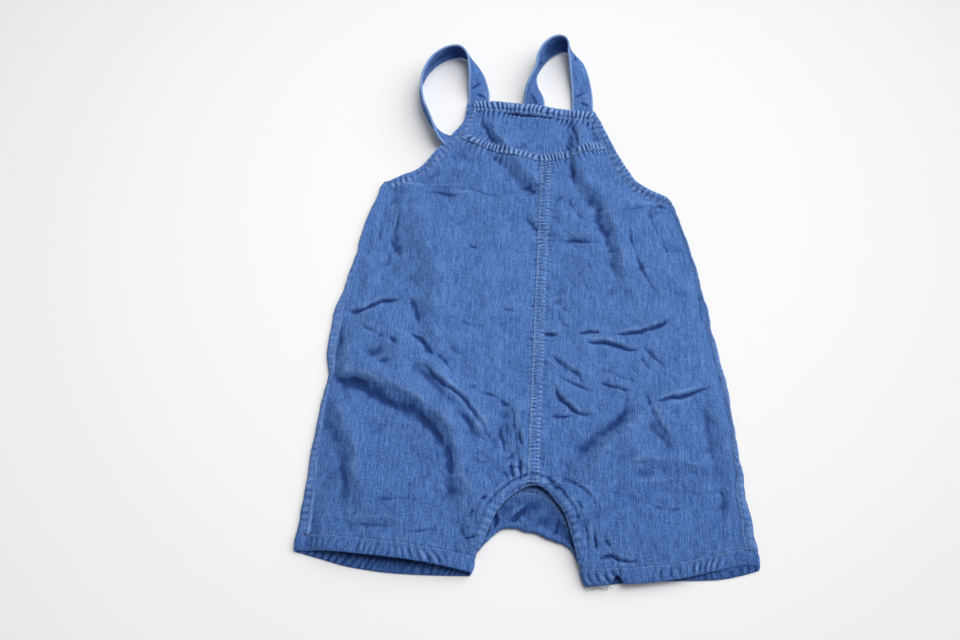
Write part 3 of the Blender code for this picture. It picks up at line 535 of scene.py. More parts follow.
class Line:
    """A smooth line drawn on the cloth, to measure from."""

    def __init__(self, rows, spacing=1.5):
        path = smooth(rows)
        self.length = length_of(path)[-1]
        self.path = evenly(path, max(4, int(self.length / spacing)))
        self.run = direction(self.path)

    def near(self, x, y):
        """Distance to its left (right is below 0) and distance along it, for arrays of points."""
        away = (x[:, None] - self.path[:, 0]) ** 2 + (y[:, None] - self.path[:, 1]) ** 2
        i = away.argmin(1)
        across, up = x - self.path[i, 0], y - self.path[i, 1]
        run = self.run[i]
        along = self.length * i / (len(self.path) - 1) + run[:, 0] * across + run[:, 1] * up
        return run[:, 0] * up - run[:, 1] * across, along

    def around(self, x, y, margin):
        """Which points lie within a box this much larger than the line."""
        low, high = self.path.min(0) - margin, self.path.max(0) + margin
        return (x > low[0]) & (x < high[0]) & (y > low[1]) & (y < high[1])


CREASE_LINES = [(Line(crease.path), crease) for crease in CREASES]
CREASE_LINES.append((Line(moved_aside(CROTCH, CROTCH_STITCH)[::4]), CROTCH_CREASE))
SEAT_CREASE_LINES = [(Line(crease.path), crease) for crease in SEAT_CREASES]
STRAP_CREASE_LINES = [(Line(crease.path), crease) for crease in STRAP_CREASES]
LAP_LINES = [(Line(lap.path, 3.0), lap) for lap in LAPS]
GATHER_LINES = [(Line(gather.path), gather) for gather in GATHERS]


def creased(x, y, lines):
    """What creases add to a cloth's height: a sharp dip under a lip on its path's left, and a long
    slope beyond it. A ridge is the same height on both sides."""
    height = np.zeros(np.shape(x))
    for seed, (line, crease) in enumerate(lines):
        near = line.around(x, y, 4.5 * crease.reach)
        if near.any():
            aside, along = line.near(x[near], y[near])
            taper = min(0.5 * line.length, max(4.0 * crease.reach, 0.4 * line.length))
            fade = ease(along / taper + 0.12) * ease((line.length - along) / taper + 0.12)
            reach = crease.reach * (0.6 + 0.4 * fade)
            reach = reach * (1.0 + 0.35 * hills(along, 0.0 * along, 11.0, 500 + seed))
            wander = 0.35 * hills(x[near], y[near], 1.6 * crease.reach + 3.0, 200 + seed)
            off = aside / reach + wander
            strength = fade * (1.0 + 0.4 * hills(along, 0.2 * aside, 12.0, 300 + seed))
            above = off > 0.0
            slope = np.exp(-np.abs(off / LIP_REACH) ** 1.5)
            if crease.dip < 0.0:
                form = -crease.dip * np.exp(-np.abs(off) ** 1.3)
            else:
                lip = np.where(above, (1.0 - np.exp(-off / 0.5)) * slope, 0.0)
                dip = 0.75 * np.exp(-(off / np.where(above, 0.45, 0.7)) ** 2)
                dip += 0.25 * np.exp(-np.abs(off / 2.0) ** 1.5)
                form = crease.dip * (0.16 * lip - 1.15 * dip)
            rise = 0.5 * np.tanh(2.5 * off) * np.where(above, slope, np.exp(-(off / FOOT_REACH) ** 2))
            height[near] += CREASE_DEPTH * strength * (crease.step * rise + form)
    return height


def folded(x, y):
    """What the broad folds add to the front's height."""
    height = np.zeros(np.shape(x))
    for seed, (line, lap) in enumerate(LAP_LINES):
        near = line.around(x, y, 2.4 * lap.gentle)
        if near.any():
            aside, along = line.near(x[near], y[near])
            taper = max(0.3 * line.length, 1.2 * lap.gentle)
            fade = ease(along / taper + 0.45) * ease((line.length - along) / taper + 0.45)
            aside += lap.steep * (0.35 * hills(x[near], y[near], 2.0 * lap.steep, 400 + seed) - 0.7)
            fade *= 1.0 + 0.3 * hills(along, 0.0 * along, 26.0, 600 + seed)
            crest = np.where(aside > 0.0, np.exp(-np.abs(aside / lap.gentle) ** 1.3),
                             np.exp(-(aside / lap.steep) ** 2))
            foot = np.exp(-((aside + 1.5 * lap.steep) / (0.6 * lap.steep)) ** 2)
            height[near] += lap.height * fade * (crest - 0.25 * foot)
    return height


def ripples(x, y):
    """The cloth's unevenness all over: soft hills, and small crumples that meet at edges."""
    height = sum(rise * hills(x, y, size, seed) for rise, size, seed in RIPPLES)
    for rise, size, seed in CRUMPLES:
        pull_x = x + 0.4 * size * hills(x, y, 1.7 * size, seed + 1)
        pull_y = y + 0.4 * size * hills(x, y, 1.7 * size, seed + 2)
        patchy = 0.7 + 0.6 * hills(x, y, 2.3 * size, seed + 3)
        height = height + rise * patchy * (1.0 - 2.0 * np.abs(hills(pull_x, pull_y, size, seed)))
    return height


def gathered(x, y):
    """What the pull of the seams' stitching adds beside them."""
    height = np.zeros(np.shape(x))
    for seed, (line, (_, period, rise, reach)) in enumerate(GATHER_LINES):
        near = line.around(x, y, 3.0 * reach)
        if near.any():
            aside, along = line.near(x[near], y[near])
            ends = ease(along / 4.0 + 1.0) * ease((line.length - along) / 4.0 + 1.0)
            fall = np.exp(-(np.abs(aside) / reach) ** 1.3) * ends
            height[near] += rise * fall * ridges(along, aside, period, 50 + 3 * seed)
    return height


def side_fade(x, y):
    """0 at the front's outer edge, 1 from a little way in: creases have room to form there."""
    away = np.full(np.shape(x), 99.0)
    for half in (RIGHT, LEFT):
        own = (x > 0.0) == (half is LEFT)
        away[own] = np.abs(x[own] - x_at(half.edge, y[own]))
    return 0.35 + 0.65 * ease(away / 12.0)


def underside(x, y):
    """Height of the underside of the front's cloth, with everything on it."""
    x, y = np.broadcast_arrays(np.asarray(x, float), np.asarray(y, float))
    flat_x, flat_y = x.ravel(), y.ravel()
    relief = creased(flat_x, flat_y, CREASE_LINES) + folded(flat_x, flat_y) + ripples(flat_x, flat_y)
    relief *= side_fade(flat_x, flat_y)
    height = lift(flat_x, flat_y) + relief + gathered(flat_x, flat_y)
    return np.maximum(LEAST_LIFT, height).reshape(x.shape)


def face(x, y):
    """Height of the front's face."""
    return underside(x, y) + CLOTH


# --- Making cloth ---------------------------------------------------------------------------------

def softened(height, reach):
    """Heights on a grid, each averaged with its neighbours this many rows and columns away."""
    for axis in (0, 1):
        width = min(reach, height.shape[axis] - 1)
        if width > 0:
            padded = np.pad(height, [(width, width) if k == axis else (0, 0) for k in (0, 1)], "edge")
            total = np.cumsum(np.insert(padded, 0, 0.0, axis=axis), axis=axis)
            count = 2 * width + 1
            high = np.take(total, range(count, total.shape[axis]), axis=axis)
            low = np.take(total, range(total.shape[axis] - count), axis=axis)
            height = (high - low) / count
    return height


def rubbed(height, gain=0.36, reach=3):
    """How worn the cloth is at each point: pale where it is rubbed on its ridges, near 1, and dark in its
    creases and dips, near 0, which is painted shade.
    """
    # Dips below the broad average are made darker than bumps above it are made paler: painted shade in broad
    # folds.
    broad = height - softened(height, 4 * reach)
    near = height - softened(height, reach)
    return np.clip(0.5 + gain * (near + np.where(broad < 0.0, 0.35, 0.05) * broad), 0.0, 1.0)


JOINING_DISTANCE = 0.002 * MM


def kept_mesh(name, shape):
    """A mesh data block with this shape, which is then given up."""
    mesh = bpy.data.meshes.new(name)
    shape.to_mesh(mesh)
    shape.free()
    return mesh


def placed(name, mesh):
    """An object at the origin, in the scene."""
    piece = bpy.data.objects.new(name, mesh)
    bpy.context.scene.collection.objects.link(piece)
    return piece


def cloth(name, points, wall, side=-1.0, closed=None, weave=None, wear_and_shade=None):
    """A sheet of cloth on a grid of points in millimetres, with its weave's own layout, how worn it is and
    painted shade in its creases.
    closed joins its first and last columns: "ring" leaves its rows' ends open and "tube" fills them."""
    rows, columns = points.shape[:2]
    shape = bmesh.new()
    bmesh.ops.create_grid(shape, x_segments=columns - 1, y_segments=rows - 1, size=1.0)
    shape.verts.ensure_lookup_table()
    order = [(round((vert.co.y + 1.0) / 2.0 * (rows - 1)), round((vert.co.x + 1.0) / 2.0 * (columns - 1)))
             for vert in shape.verts]
    mesh = kept_mesh(name, shape)
    row, column = np.array(order).T
    mesh.vertices.foreach_set("co", (points[row, column] * MM).astype(np.float32).ravel())
    plan = points[..., :2] if weave is None else weave
    corner = np.zeros(len(mesh.loops), np.int32)
    mesh.loops.foreach_get("vertex_index", corner)
    layer = mesh.uv_layers.new(name="Weave")
    layer.data.foreach_set("uv", (plan[row, column][corner] * MM).astype(np.float32).ravel())
    # Values near 1 are rubbed and pale; values near 0 stand for painted shade in creases and dips.
    worn = rubbed(points[..., 2]) if wear_and_shade is None else wear_and_shade
    shade = mesh.attributes.new("Wear", "FLOAT", "POINT")
    shade.data.foreach_set("value", worn[row, column].astype(np.float32))
    if closed:
        shape = bmesh.new()
        shape.from_mesh(mesh)
        bmesh.ops.remove_doubles(shape, verts=shape.verts, dist=JOINING_DISTANCE)
        if closed == "tube":
            bmesh.ops.holes_fill(shape, edges=shape.edges, sides=0)
            bmesh.ops.recalc_face_normals(shape, faces=shape.faces)
        shape.to_mesh(mesh)
        shape.free()
    mesh.shade_smooth()
    piece = placed(name, mesh)
    if wall:
        thickness = piece.modifiers.new("Cloth", "SOLIDIFY")
        thickness.thickness = wall * MM
        thickness.offset = side
    return piece


def settle(piece, material, slot, *nodes):
    """Gives a piece its cloth, puts it under the root and hides the solids that it stands for."""
    piece.data.materials.clear()
    piece.data.materials.append(material)
    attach(piece, "root")
    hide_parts(*nodes)


def facing_up(points, half):
    """Rows run up the garment; their columns are put in order towards +X, so the sheet faces up."""
    return points if half is RIGHT else points[:, ::-1]


# The puckers across a strip: how far apart and high they are, where across the strip they are highest,
# how far they reach from there, and which random sheet they take.
Pucker = namedtuple("Pucker", "period size centres reach seed")
STRIP_STEP = 0.6        # how far apart a strip's rows are
FOLD_WEAR = 0.28        # how much paler a strip's folded edges are, and its stitch line darker


def strip(name, path, section, toward, cloths, wave, base=face, stitched=(), pointed=0.0, pale=FOLD_WEAR):
    """A strip sewn along a path. Its section is a list of (distance in from the path, height on the
    base); toward is 1 where the strip lies on the path's left and -1 on its right. stitched says which
    points of the section carry a row of stitches; pointed is the length of a tapered start; pale is how
    much paler its folded edges are."""
    path = evenly(path, int(length_of(path)[-1] / STRIP_STEP))
    run = direction(path)
    aside = np.column_stack([-run[:, 1], run[:, 0]]) * toward
    inward, height = np.asarray(section, float).T
    narrow = ease(0.2 + length_of(path) / pointed) if pointed else np.ones(len(path))
    place = path[:, None, :2] + aside[:, None] * inward[None, :, None] * narrow[:, None, None]
    ground = path[:, None, :2] + aside[:, None] * np.maximum(inward, 0.3)[None, :, None]
    s, a = np.meshgrid(length_of(path), inward, indexing="ij")
    pucker = 0.0
    for k, centre in enumerate(wave.centres):
        crossing = ridges(s, a, wave.period * (1.0 + 0.13 * k), wave.seed + 5 * k)
        pucker = pucker + wave.size * np.exp(-((a - centre) / wave.reach) ** 2) * crossing
    rise = base(ground[..., 0], ground[..., 1]) + height + pucker
    points = np.dstack([place, np.maximum(rise, LOWEST)])
    travel = np.concatenate([[0.0], np.cumsum(np.hypot(np.diff(inward), np.diff(height)))])
    weave = np.dstack(np.meshgrid(travel + 7.0, s[:, 0], indexing="xy"))
    folds = np.exp(-((a - 0.4) / 0.7) ** 2) - 0.6 * np.exp(-((a - 1.9) / 0.6) ** 2)
    folds += 0.7 * np.exp(-((a - inward.max()) / 0.9) ** 2)
    # Pale on folded edges and on the puckers' tops where they are rubbed, and darker between the puckers as
    # painted shade.
    wear_and_shade = np.clip(rubbed(0.3 * height + pucker, 0.95, 3) + pale * folds, 0.0, 1.0)
    order = slice(None, None, -1) if toward > 0 else slice(None)
    piece = cloth(f"{name}_cloth", points[:, order], STRIP_WALL, weave=weave[:, order], wear_and_shade=wear_and_shade[:, order])
    settle(piece, cloths.seams, "denim_seams", name)
    if stitched:
        sewn(f"{name}_stitches", [points[:, column] for column in stitched], cloths)
    return piece


STITCH_BATCH = 24       # stitches made at a time: one large shape slows as it grows


def sewn(name, rows, cloths):
    """Stitches along rows of points in millimetres, all in one piece."""
    size = bpy.context.scene.shorts_sewing
    length, gap, width = size.stitch_length / MM, size.stitch_gap / MM, size.thread_width / MM
    random = np.random.default_rng(len(name) + 7 * len(rows))
    places = []
    for row in rows:
        along = travelled(row)
        stations = np.arange(0.6 * length, along[-1] - 0.6 * length, length + gap)
        for station in stations + random.uniform(-0.15, 0.15, len(stations)):
            ends = [Vector([np.interp(station + half * length / 2, along, row[:, k]) for k in range(3)])
                    for half in (-1, 1)]
            turn = (ends[1] - ends[0]).to_track_quat("X", "Z").to_matrix().to_4x4()
            middle = (ends[0] + ends[1]) / 2 + Vector((0.0, 0.0, 0.25 * width))
            lean = Matrix.Rotation(random.uniform(-0.14, 0.14), 4, "Z")
            places.append(Matrix.Translation(middle) @ turn @ lean)
    thread = Matrix.Diagonal((length / 2, width / 2, width / 2.4, 1.0))
    whole = bmesh.new()
    for first in range(0, len(places), STITCH_BATCH):
        shape = bmesh.new()
        for place in places[first:first + STITCH_BATCH]:
            bmesh.ops.create_uvsphere(shape, u_segments=6, v_segments=4, radius=1.0,
                                      matrix=Matrix.Scale(MM, 4) @ place @ thread)
        batch = kept_mesh("batch", shape)
        whole.from_mesh(batch)
        bpy.data.meshes.remove(batch)
    mesh = kept_mesh(name, whole)
    mesh.shade_smooth()
    piece = placed(name, mesh)
    mesh.materials.append(cloths.thread)
    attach(piece, "root")
    return piece


# --- Front ----------------------------------------------------------------------------------------

PANEL_ROWS = 325
PANEL_COLUMNS = 130
FINE_FROM = 4.2         # how far from the inner edge the even columns stop
EDGE_RADIUS = 1.6       # of the turn at the crotch
TUCK_DROP = 0.5         # how much lower the cloth is where it goes in under a hem or the yoke
SIDE_TUCK_DROP = 0.6    # and under the side seam
EDGE_STEPS = (3.0, 2.0, 1.2, 0.6, 0.2, 0.0)   # distances from the inner edge, for its finest columns


def turned_down(away, radius):
    """How far an edge's turn drops the cloth, from the distance to that edge."""
    part = np.clip(1.0 - away / radius, 0.0, 1.0)
    return radius * (1.0 - np.sqrt(1.0 - part ** 2))


def panel_points(half):
    """The front panel's face: rows from the hem to the yoke, columns from the side to the middle."""
    depth = HEM_DEPTH - 0.4
    outer = half.edge + (TUCK * half.out, 0.0)
    side_low = half.hem_y(half.hem[0, 0], 1, depth)
    side_high = y_at(SEAM_UNDER_YOKE, meet(half.edge, SEAM_UNDER_YOKE)) + TUCK
    middle_low = half.hem_y(half.hem[-1, 0], 1, depth)
    middle_high = y_at(SEAM_UNDER_YOKE, 0.0) + TUCK
    points = []
    for up in np.linspace(0.0, 1.0, PANEL_ROWS):
        start = x_at(outer, mix(side_low, side_high, up))
        end = inner_x(half, mix(middle_low, middle_high, up))
        width = abs(end - start)
        fine = 1.0 - np.array(EDGE_STEPS) / width
        across = np.concatenate([np.linspace(0.0, 1.0 - FINE_FROM / width, PANEL_COLUMNS), fine])
        bottom_x = mix(x_at(outer, side_low), inner_x(half, middle_low), across)
        top_x = mix(x_at(outer, side_high), inner_x(half, middle_high), across)
        bottom = half.hem_y(bottom_x, 1, depth)
        top = y_at(SEAM_UNDER_YOKE, top_x) + TUCK
        x, y = mix(start, end, across), mix(bottom, top, up)
        turn = turned_down(width * (1.0 - across), EDGE_RADIUS)
        turn = np.where(y < CROTCH[CROTCH_TOP, 1] + 2.0, turn, 0.0)
        points.append(np.column_stack([x, y, -turn]))
    points = np.array(points)
    points[..., 2] += face(points[..., 0], points[..., 1])
    points[0, :, 2] -= TUCK_DROP
    points[-2:, :, 2] -= TUCK_DROP
    points[:, 0, 2] -= SIDE_TUCK_DROP
    return points


def make_front_panels(cloths):
    for half, width, area in ((RIGHT, 0.180, 0.058), (LEFT, 0.184, 0.055)):
        points = panel_points(half)
        name = f"front_panel_{half.name}"
        piece = cloth(f"{name}_cloth", facing_up(points, half), PANEL_WALL)
        settle(piece, cloths.body, "denim", name)


CENTRE_SECTION = ((-0.1, -0.9), (-0.5, -0.3), (-0.3, 0.4), (0.4, 0.8), (1.4, 0.8), (2.0, 0.45), (2.7, 0.65),
                  (4.0, 0.75), (5.5, 0.7), (6.6, 0.55), (7.3, 0.25), (8.0, 0.4), (8.8, 0.25), (9.3, -0.3),
                  (9.6, -0.8))
CENTRE_PUCKER = Pucker(3.4, 0.48, (2.6, 7.4), 2.2, 21)


def make_centre_seam(cloths):
    path = np.column_stack([(0.0, 0.0), (CROTCH[CROTCH_TOP, 1] + 0.6, 163.0)])
    piece = strip("centre_front_seam", path, CENTRE_SECTION, -1.0, cloths, CENTRE_PUCKER, stitched=(5, 10),
                  pale=0.20)


YOKE_SECTION = ((1.0, -1.0), (0.2, -0.8), (-0.3, -0.2), (-0.2, 0.5), (0.5, 1.0), (1.4, 1.0), (2.0, 0.6),
                (2.8, 0.9), (4.2, 1.0), (5.6, 0.8), (6.8, 0.5), (7.5, 0.1), (8.1, 0.15), (8.6, -0.2),
                (9.2, -0.9))
YOKE_ROWS = 96
YOKE_COLUMNS = 220
YOKE_LOW = 5.5          # how far above its seam's line the yoke's cloth begins
YOKE_HIGH = 1.5         # and how far above the casing's lower edge it ends
YOKE_PUCKER = Pucker(4.2, 1.10, (2.2,), 4.6, 31)


def between(path, low, high):
    """The part of a path that runs across the garment between two places."""
    return path[(path[:, 0] > low) & (path[:, 0] < high)]


def make_yoke(cloths):
    start, end = [meet(half.edge, SEAM_UNDER_YOKE) for half in (RIGHT, LEFT)]
    seam = np.linspace(start, end, YOKE_COLUMNS)
    bottom, top = y_at(SEAM_UNDER_YOKE, seam) + YOKE_LOW, y_at(CASING_LOW, seam) + YOKE_HIGH
    points = []
    for up in np.linspace(0.0, 1.0, YOKE_ROWS):
        heights = mix(bottom, top, up)
        low = x_at(RIGHT.edge, heights[0]) - TUCK
        high = x_at(LEFT.edge, heights[-1]) + TUCK
        points.append(np.column_stack([np.linspace(low, high, YOKE_COLUMNS), heights]))
    points = np.array(points)
    points = np.dstack([points, face(points[..., 0], points[..., 1])])
    points[0, :, 2] -= 0.4
    # Stronger than elsewhere: paler on the gathers' tops and darker between them, the darkness being painted
    # shade.
    piece = cloth("bib_yoke_cloth", points, PANEL_WALL, wear_and_shade=rubbed(points[..., 2], 0.45, 5))
    settle(piece, cloths.body, "denim", "bib_yoke")
    path = evenly(SEAM_UNDER_YOKE, 240)
    path = between(path, x_at(RIGHT.edge, path[:, 1]) - TUCK, x_at(LEFT.edge, path[:, 1]) + TUCK)
    seam = strip("yoke_seam", path, YOKE_SECTION, 1.0, cloths, YOKE_PUCKER, stitched=(6, 11))


CASING_SECTION = ((-0.3, -0.8), (-0.4, -0.1), (0.2, 0.5), (1.2, 0.7), (2.1, 0.3), (2.9, 0.9), (4.8, 1.6),
                  (6.8, 1.8), (8.6, 1.6), (10.4, 1.0), (11.6, 0.1), (12.0, -0.9), (11.4, -1.9), (9.6, -2.3))
CASING_PUCKER = Pucker(4.4, 1.60, (6.2,), 5.2, 41)
CASING_END = 3.0        # how far the casing runs out over the armhole strips


def make_casing(cloths):
    low, high = meet(RIGHT.edge, CASING_LOW) - CASING_END, meet(LEFT.edge, CASING_LOW) + CASING_END
    path = between(evenly(CASING_LOW, 210), low, high)
    piece = strip("bib_casing", path, CASING_SECTION, 1.0, cloths, CASING_PUCKER, stitched=(4,))


ARMHOLE_SECTION = ((2.2, -2.0), (0.8, -1.9), (0.1, -1.4), (-0.1, -0.6), (0.3, 0.1), (1.2, 0.5), (2.6, 0.65),
                   (4.2, 0.65), (5.8, 0.55), (6.8, 0.2), (7.6, 0.35), (8.7, 0.3), (9.4, -0.1), (10.0, -0.8))


def make_armholes(cloths):
    for half, seed in ((RIGHT, 61), (LEFT, 71)):
        name = f"armhole_front_{half.name}"
        wave = Pucker(5.2, 0.52, (1.2, 6.8), 3.0, seed)
        piece = strip(name, half.armhole, ARMHOLE_SECTION, half.out, cloths, wave, stitched=(9,), pointed=8.0)
        name = f"armhole_back_{half.name}"
        piece = strip(name, half.back_armhole, BACK_STRIP, half.out, cloths, back_pucker(seed + 4),
                      base=on_floor, stitched=(7,), pointed=8.0)


BACK_STRIP = ((0.0, 0.85), (0.0, 1.2), (0.4, 1.7), (1.3, 1.8), (3.0, 1.8), (5.0, 1.8), (6.6, 1.7), (7.4, 1.4),
              (8.2, 1.6), (9.0, 1.4), (9.4, 1.0))


def on_floor(x, y):
    """The height that the back's strips lie on."""
    return np.zeros(np.shape(x))


def back_pucker(seed):
    return Pucker(7.0, 0.2, (4.0,), 4.0, seed)


# --- Sides and hems -------------------------------------------------------------------------------

SIDE_ROWS = 300
SIDE_STITCHES_TOP = 10.0    # above this the seam rolls under and hides its stitches
SIDE_GROOVE = 10        # which of the seam's lines is stitched, counted from underneath
# The side seam's roll round the garment's edge, from underneath: distance in, height.
SIDE_ROLL = ((4.0, 0.35), (1.2, 0.2), (0.35, 0.5), (0.0, 1.2), (0.05, 2.0), (0.45, 2.8))
# Its felled part beyond the roll: part of the way across, height above a straight line.
SIDE_FELL = ((0.2, 0.25), (0.4, 0.45), (0.58, 0.5), (0.7, 0.42))


def side_points(half):
    """The felled side seam: it rolls round the garment's edge, from the floor to the panel's face."""
    low = half.hem_y(half.hem[0, 0], 1, HEM_DEPTH - 0.6)
    high = half.armhole[0, 1] + 1.0
    y = np.linspace(low, high, SIDE_ROWS)
    edge = x_at(half.side[:, :2], y)
    width = np.interp(y, half.side[:, 1], half.side[:, 2])
    inner = face(edge - half.out * (width + 2.0), y)
    wave = 0.35 * ridges(y, 0.0 * y, 6.0, 81 + half.out)
    section = [(inward + 0.0 * y, height + 0.0 * y) for inward, height in SIDE_ROLL]
    for part, up in SIDE_FELL:
        section.append((mix(0.45, width, part), mix(3.1, inner, part) + up + wave))
    section += [(np.maximum(width - 0.9, 1.6), inner + 0.1),
                (np.maximum(width - 0.3, 2.0), inner + 0.3 + 0.5 * wave),
                (width + 0.6, inner + 0.15), (width + 1.1, inner - 0.7)]
    rows = [np.column_stack([edge - half.out * inward, y, height]) for inward, height in section]
    points = np.stack(rows, axis=1)
    closed_end = points[:, 5:6] - (1.2 * half.out, 0.0, 0.0)
    points = mix(closed_end, points, ease(0.1 + (high - y) / 3.0)[:, None, None])
    weave = np.dstack(np.meshgrid(np.linspace(0.0, 14.0, len(section)), y, indexing="xy"))
    return facing_up(points, half), facing_up(weave, half)


def make_side_seams(cloths):
    for half in (RIGHT, LEFT):
        points, weave = side_points(half)
        name = f"side_seam_{half.name}"
        piece = cloth(f"{name}_cloth", points, STRIP_WALL, weave=weave)
        settle(piece, cloths.seams, "denim_seams", name)
        groove = facing_up(points, half)[:, SIDE_GROOVE]
        wide = groove[:, 1] < SIDE_STITCHES_TOP
        sewn(f"{name}_stitches", [groove[wide]], cloths)


HEM_COLUMNS = 170
CORNER_COLUMNS = 14
# The hem from its inner fold's end, round the edge and up the outside: distance up, distance in.
HEM_SECTION = ((11.0, 1.9), (8.0, 1.9), (4.0, 1.9), (1.8, 1.8), (0.6, 1.6), (0.1, 1.2), (0.0, 0.8),
               (0.15, 0.35), (0.8, 0.05), (2.0, -0.2), (3.6, -0.35), (5.4, -0.4), (7.2, -0.4), (9.0, -0.3),
               (10.4, -0.05), (11.2, 0.3), (11.9, 0.35), (12.5, 0.1), (13.3, 0.25), (14.0, 1.0))
HEM_EDGE = 6            # which of those rows is the folded edge
HEM_STITCHES = 16       # which of those rows is stitched
HEM_JOIN = 15           # columns from the inner corner to the row that closes the hem there
HEM_JOIN_ROWS = slice(9, HEM_STITCHES)
# Ends of thread at the wearer's left hem, by its inner corner: x, y and height.
LOOSE_THREADS = (
    ((50.0, -226.0, 1.4), (51.0, -229.5, 0.8), (55.0, -230.4, 0.5), (57.5, -227.0, 0.9)),
    ((57.0, -225.5, 1.4), (60.0, -229.0, 0.7), (65.0, -229.8, 0.5), (65.5, -226.5, 0.7)),
    ((63.0, -225.5, 1.4), (67.5, -226.5, 0.6), (70.5, -229.5, 0.5)),
    ((46.5, -226.0, 1.4), (48.5, -230.6, 0.6), (52.5, -231.6, 0.5)),
)
HEM_PUCKER = Pucker(5.8, 0.90, (5.0,), 5.5, 90)
HEM_UNEVEN = 0.75       # how much the height of the hem's puckers differs along it
HEM_INSIDE_SHADE = 0.22    # painted shade on the inside of a leg opening, under the front: how much darker it is made


def half_turn(start, end, outward):
    """The points of half a turn between two points that lie one above the other, without its ends."""
    points = []
    for angle in np.linspace(0.0, math.pi, CORNER_COLUMNS + 2)[1:-1]:
        part = (1.0 - math.cos(angle)) / 2
        point = mix(start, end, part)
        point[0] += outward * math.sin(angle)
        points.append(point)
    return np.array(points)


def hem_loop(half, depth):
    """Once round a leg opening at this distance up from its edge: front, inner corner, back, outer."""
    outer = x_at(half.side[:, :2], half.hem[0, 1] + depth)
    inner = mix(half.hem[-1, 0], inner_x(half, half.hem[-1, 1]), depth / HEM_DEPTH)
    inset = math.copysign(ROLL_RADIUS, inner - outer)
    x = np.linspace(outer + inset, inner - inset, HEM_COLUMNS + 1)
    y = half.hem_y(x, 1, depth)
    front = np.column_stack([x, y, face(x, y)])
    back = np.column_stack([x, half.hem_y(x, 2, depth), 0.0 * x])[::-1]
    inner_turn, outer_turn = half_turn(front[-1], back[0], inset), half_turn(back[-1], front[0], -inset)
    return np.vstack([front, inner_turn, back, outer_turn, front[:1]])


def hem_points(half):
    """The hem's rows round the leg opening, and how high its puckers are at each point."""
    rows, reliefs = [], []
    for depth, inset in HEM_SECTION:
        loop = hem_loop(half, depth)
        step = np.roll(loop[:-1], -1, axis=0) - np.roll(loop[:-1], 1, axis=0)
        step = np.vstack([step, step[:1]])
        inward = -half.out * np.cross((0.0, 1.0, 0.0), step)
        inward /= np.linalg.norm(inward, axis=1)[:, None]
        along = travelled(loop)
        closing = ease(along / 8.0) * ease((along[-1] - along) / 8.0)
        period, size, (centre,), reach, seed = HEM_PUCKER
        wave = ridges(along, depth + 0.0 * along, period, seed + half.out) * closing
        wave *= size + HEM_UNEVEN * hills(along, 0.3 * depth, 19.0, seed + 5 + half.out)
        wave *= math.exp(-((depth - centre) / reach) ** 2)
        place = loop + inward * (inset - wave)[:, None]
        place[:, 2] = np.maximum(place[:, 2], LOWEST)
        rows.append(place)
        reliefs.append(wave)
    return np.array(rows), np.array(reliefs)


def make_hems(cloths):
    for half in (RIGHT, LEFT):
        points, relief = hem_points(half)
        travel = np.array([depth if k >= HEM_EDGE else -depth for k, (depth, _) in enumerate(HEM_SECTION)])
        across = travelled(points[HEM_EDGE])
        weave = np.dstack(np.meshgrid(across, travel, indexing="xy"))
        # Paler on the puckers' tops, darker between them as painted shade, and painted shade inside the
        # opening under the front.
        wear_and_shade = rubbed(relief, 0.5, 2)
        wear_and_shade[:HEM_EDGE, HEM_COLUMNS + 1:-CORNER_COLUMNS] -= HEM_INSIDE_SHADE
        wear_and_shade = np.clip(wear_and_shade, 0.0, 1.0)
        name = f"hem_{half.name}"
        piece = cloth(f"{name}_cloth", facing_up(points, half), 0.5, closed="ring",
                      weave=facing_up(weave, half), wear_and_shade=facing_up(wear_and_shade, half))
        settle(piece, cloths.seams, "denim_seams", name)
        join = points[HEM_JOIN_ROWS, HEM_COLUMNS - HEM_JOIN]
        sewn(f"{name}_stitches", [points[HEM_STITCHES], join], cloths)
    sewn("loose_threads", [evenly(smooth(rows), 20) for rows in LOOSE_THREADS], cloths)


# --- Crotch and back ------------------------------------------------------------------------------

PLACKET_FRONT = ((0.9, -1.1), (0.3, -1.3), (0.0, -1.9), (0.3, -2.5), (1.2, -2.7), (4.0, -2.6), (8.0, -2.5),
                 (12.5, -2.4))
PLACKET_BACK = ((-0.4, 0.2), (0.0, 0.7), (0.6, 1.0), (1.5, 0.9), (2.1, 0.6), (3.0, 0.9), (4.6, 0.95),
                (5.6, 0.6), (6.6, 0.85), (9.0, 0.7))
SEAT_COLUMNS = 100
SEAT_SAG = 2.2          # how much lower the seat is in its middle than its table says
SEAT_CREASE_DEPTH = 1.4
BACK_ROWS = 110
BACK_CORNER_COLUMNS = 24
BACK_HEIGHT = 1.1       # of the back's face above the floor
SEAT_SHADE = 0.6         # how much the seat's worn value is scaled down beside the front, as painted shade under the front's edge


def seat_lines():
    """The seat's fold as rows of a table, and where the cloth is flat beside it."""
    seat = evenly(smooth(SEAT_RISE), SEAT_COLUMNS)
    seat[:, 1] += 0.9 * hills(seat[:, 0], 0.0 * seat[:, 0], 8.0, 151) + 0.5 * hills(seat[:, 0], 5.0, 4.0, 152)
    seat[:, 4] -= SEAT_SAG * np.sin(math.pi * np.linspace(0.0, 1.0, SEAT_COLUMNS)) ** 0.6
    return seat, moved_aside(seat, ROLL_RADIUS)[:, :2]


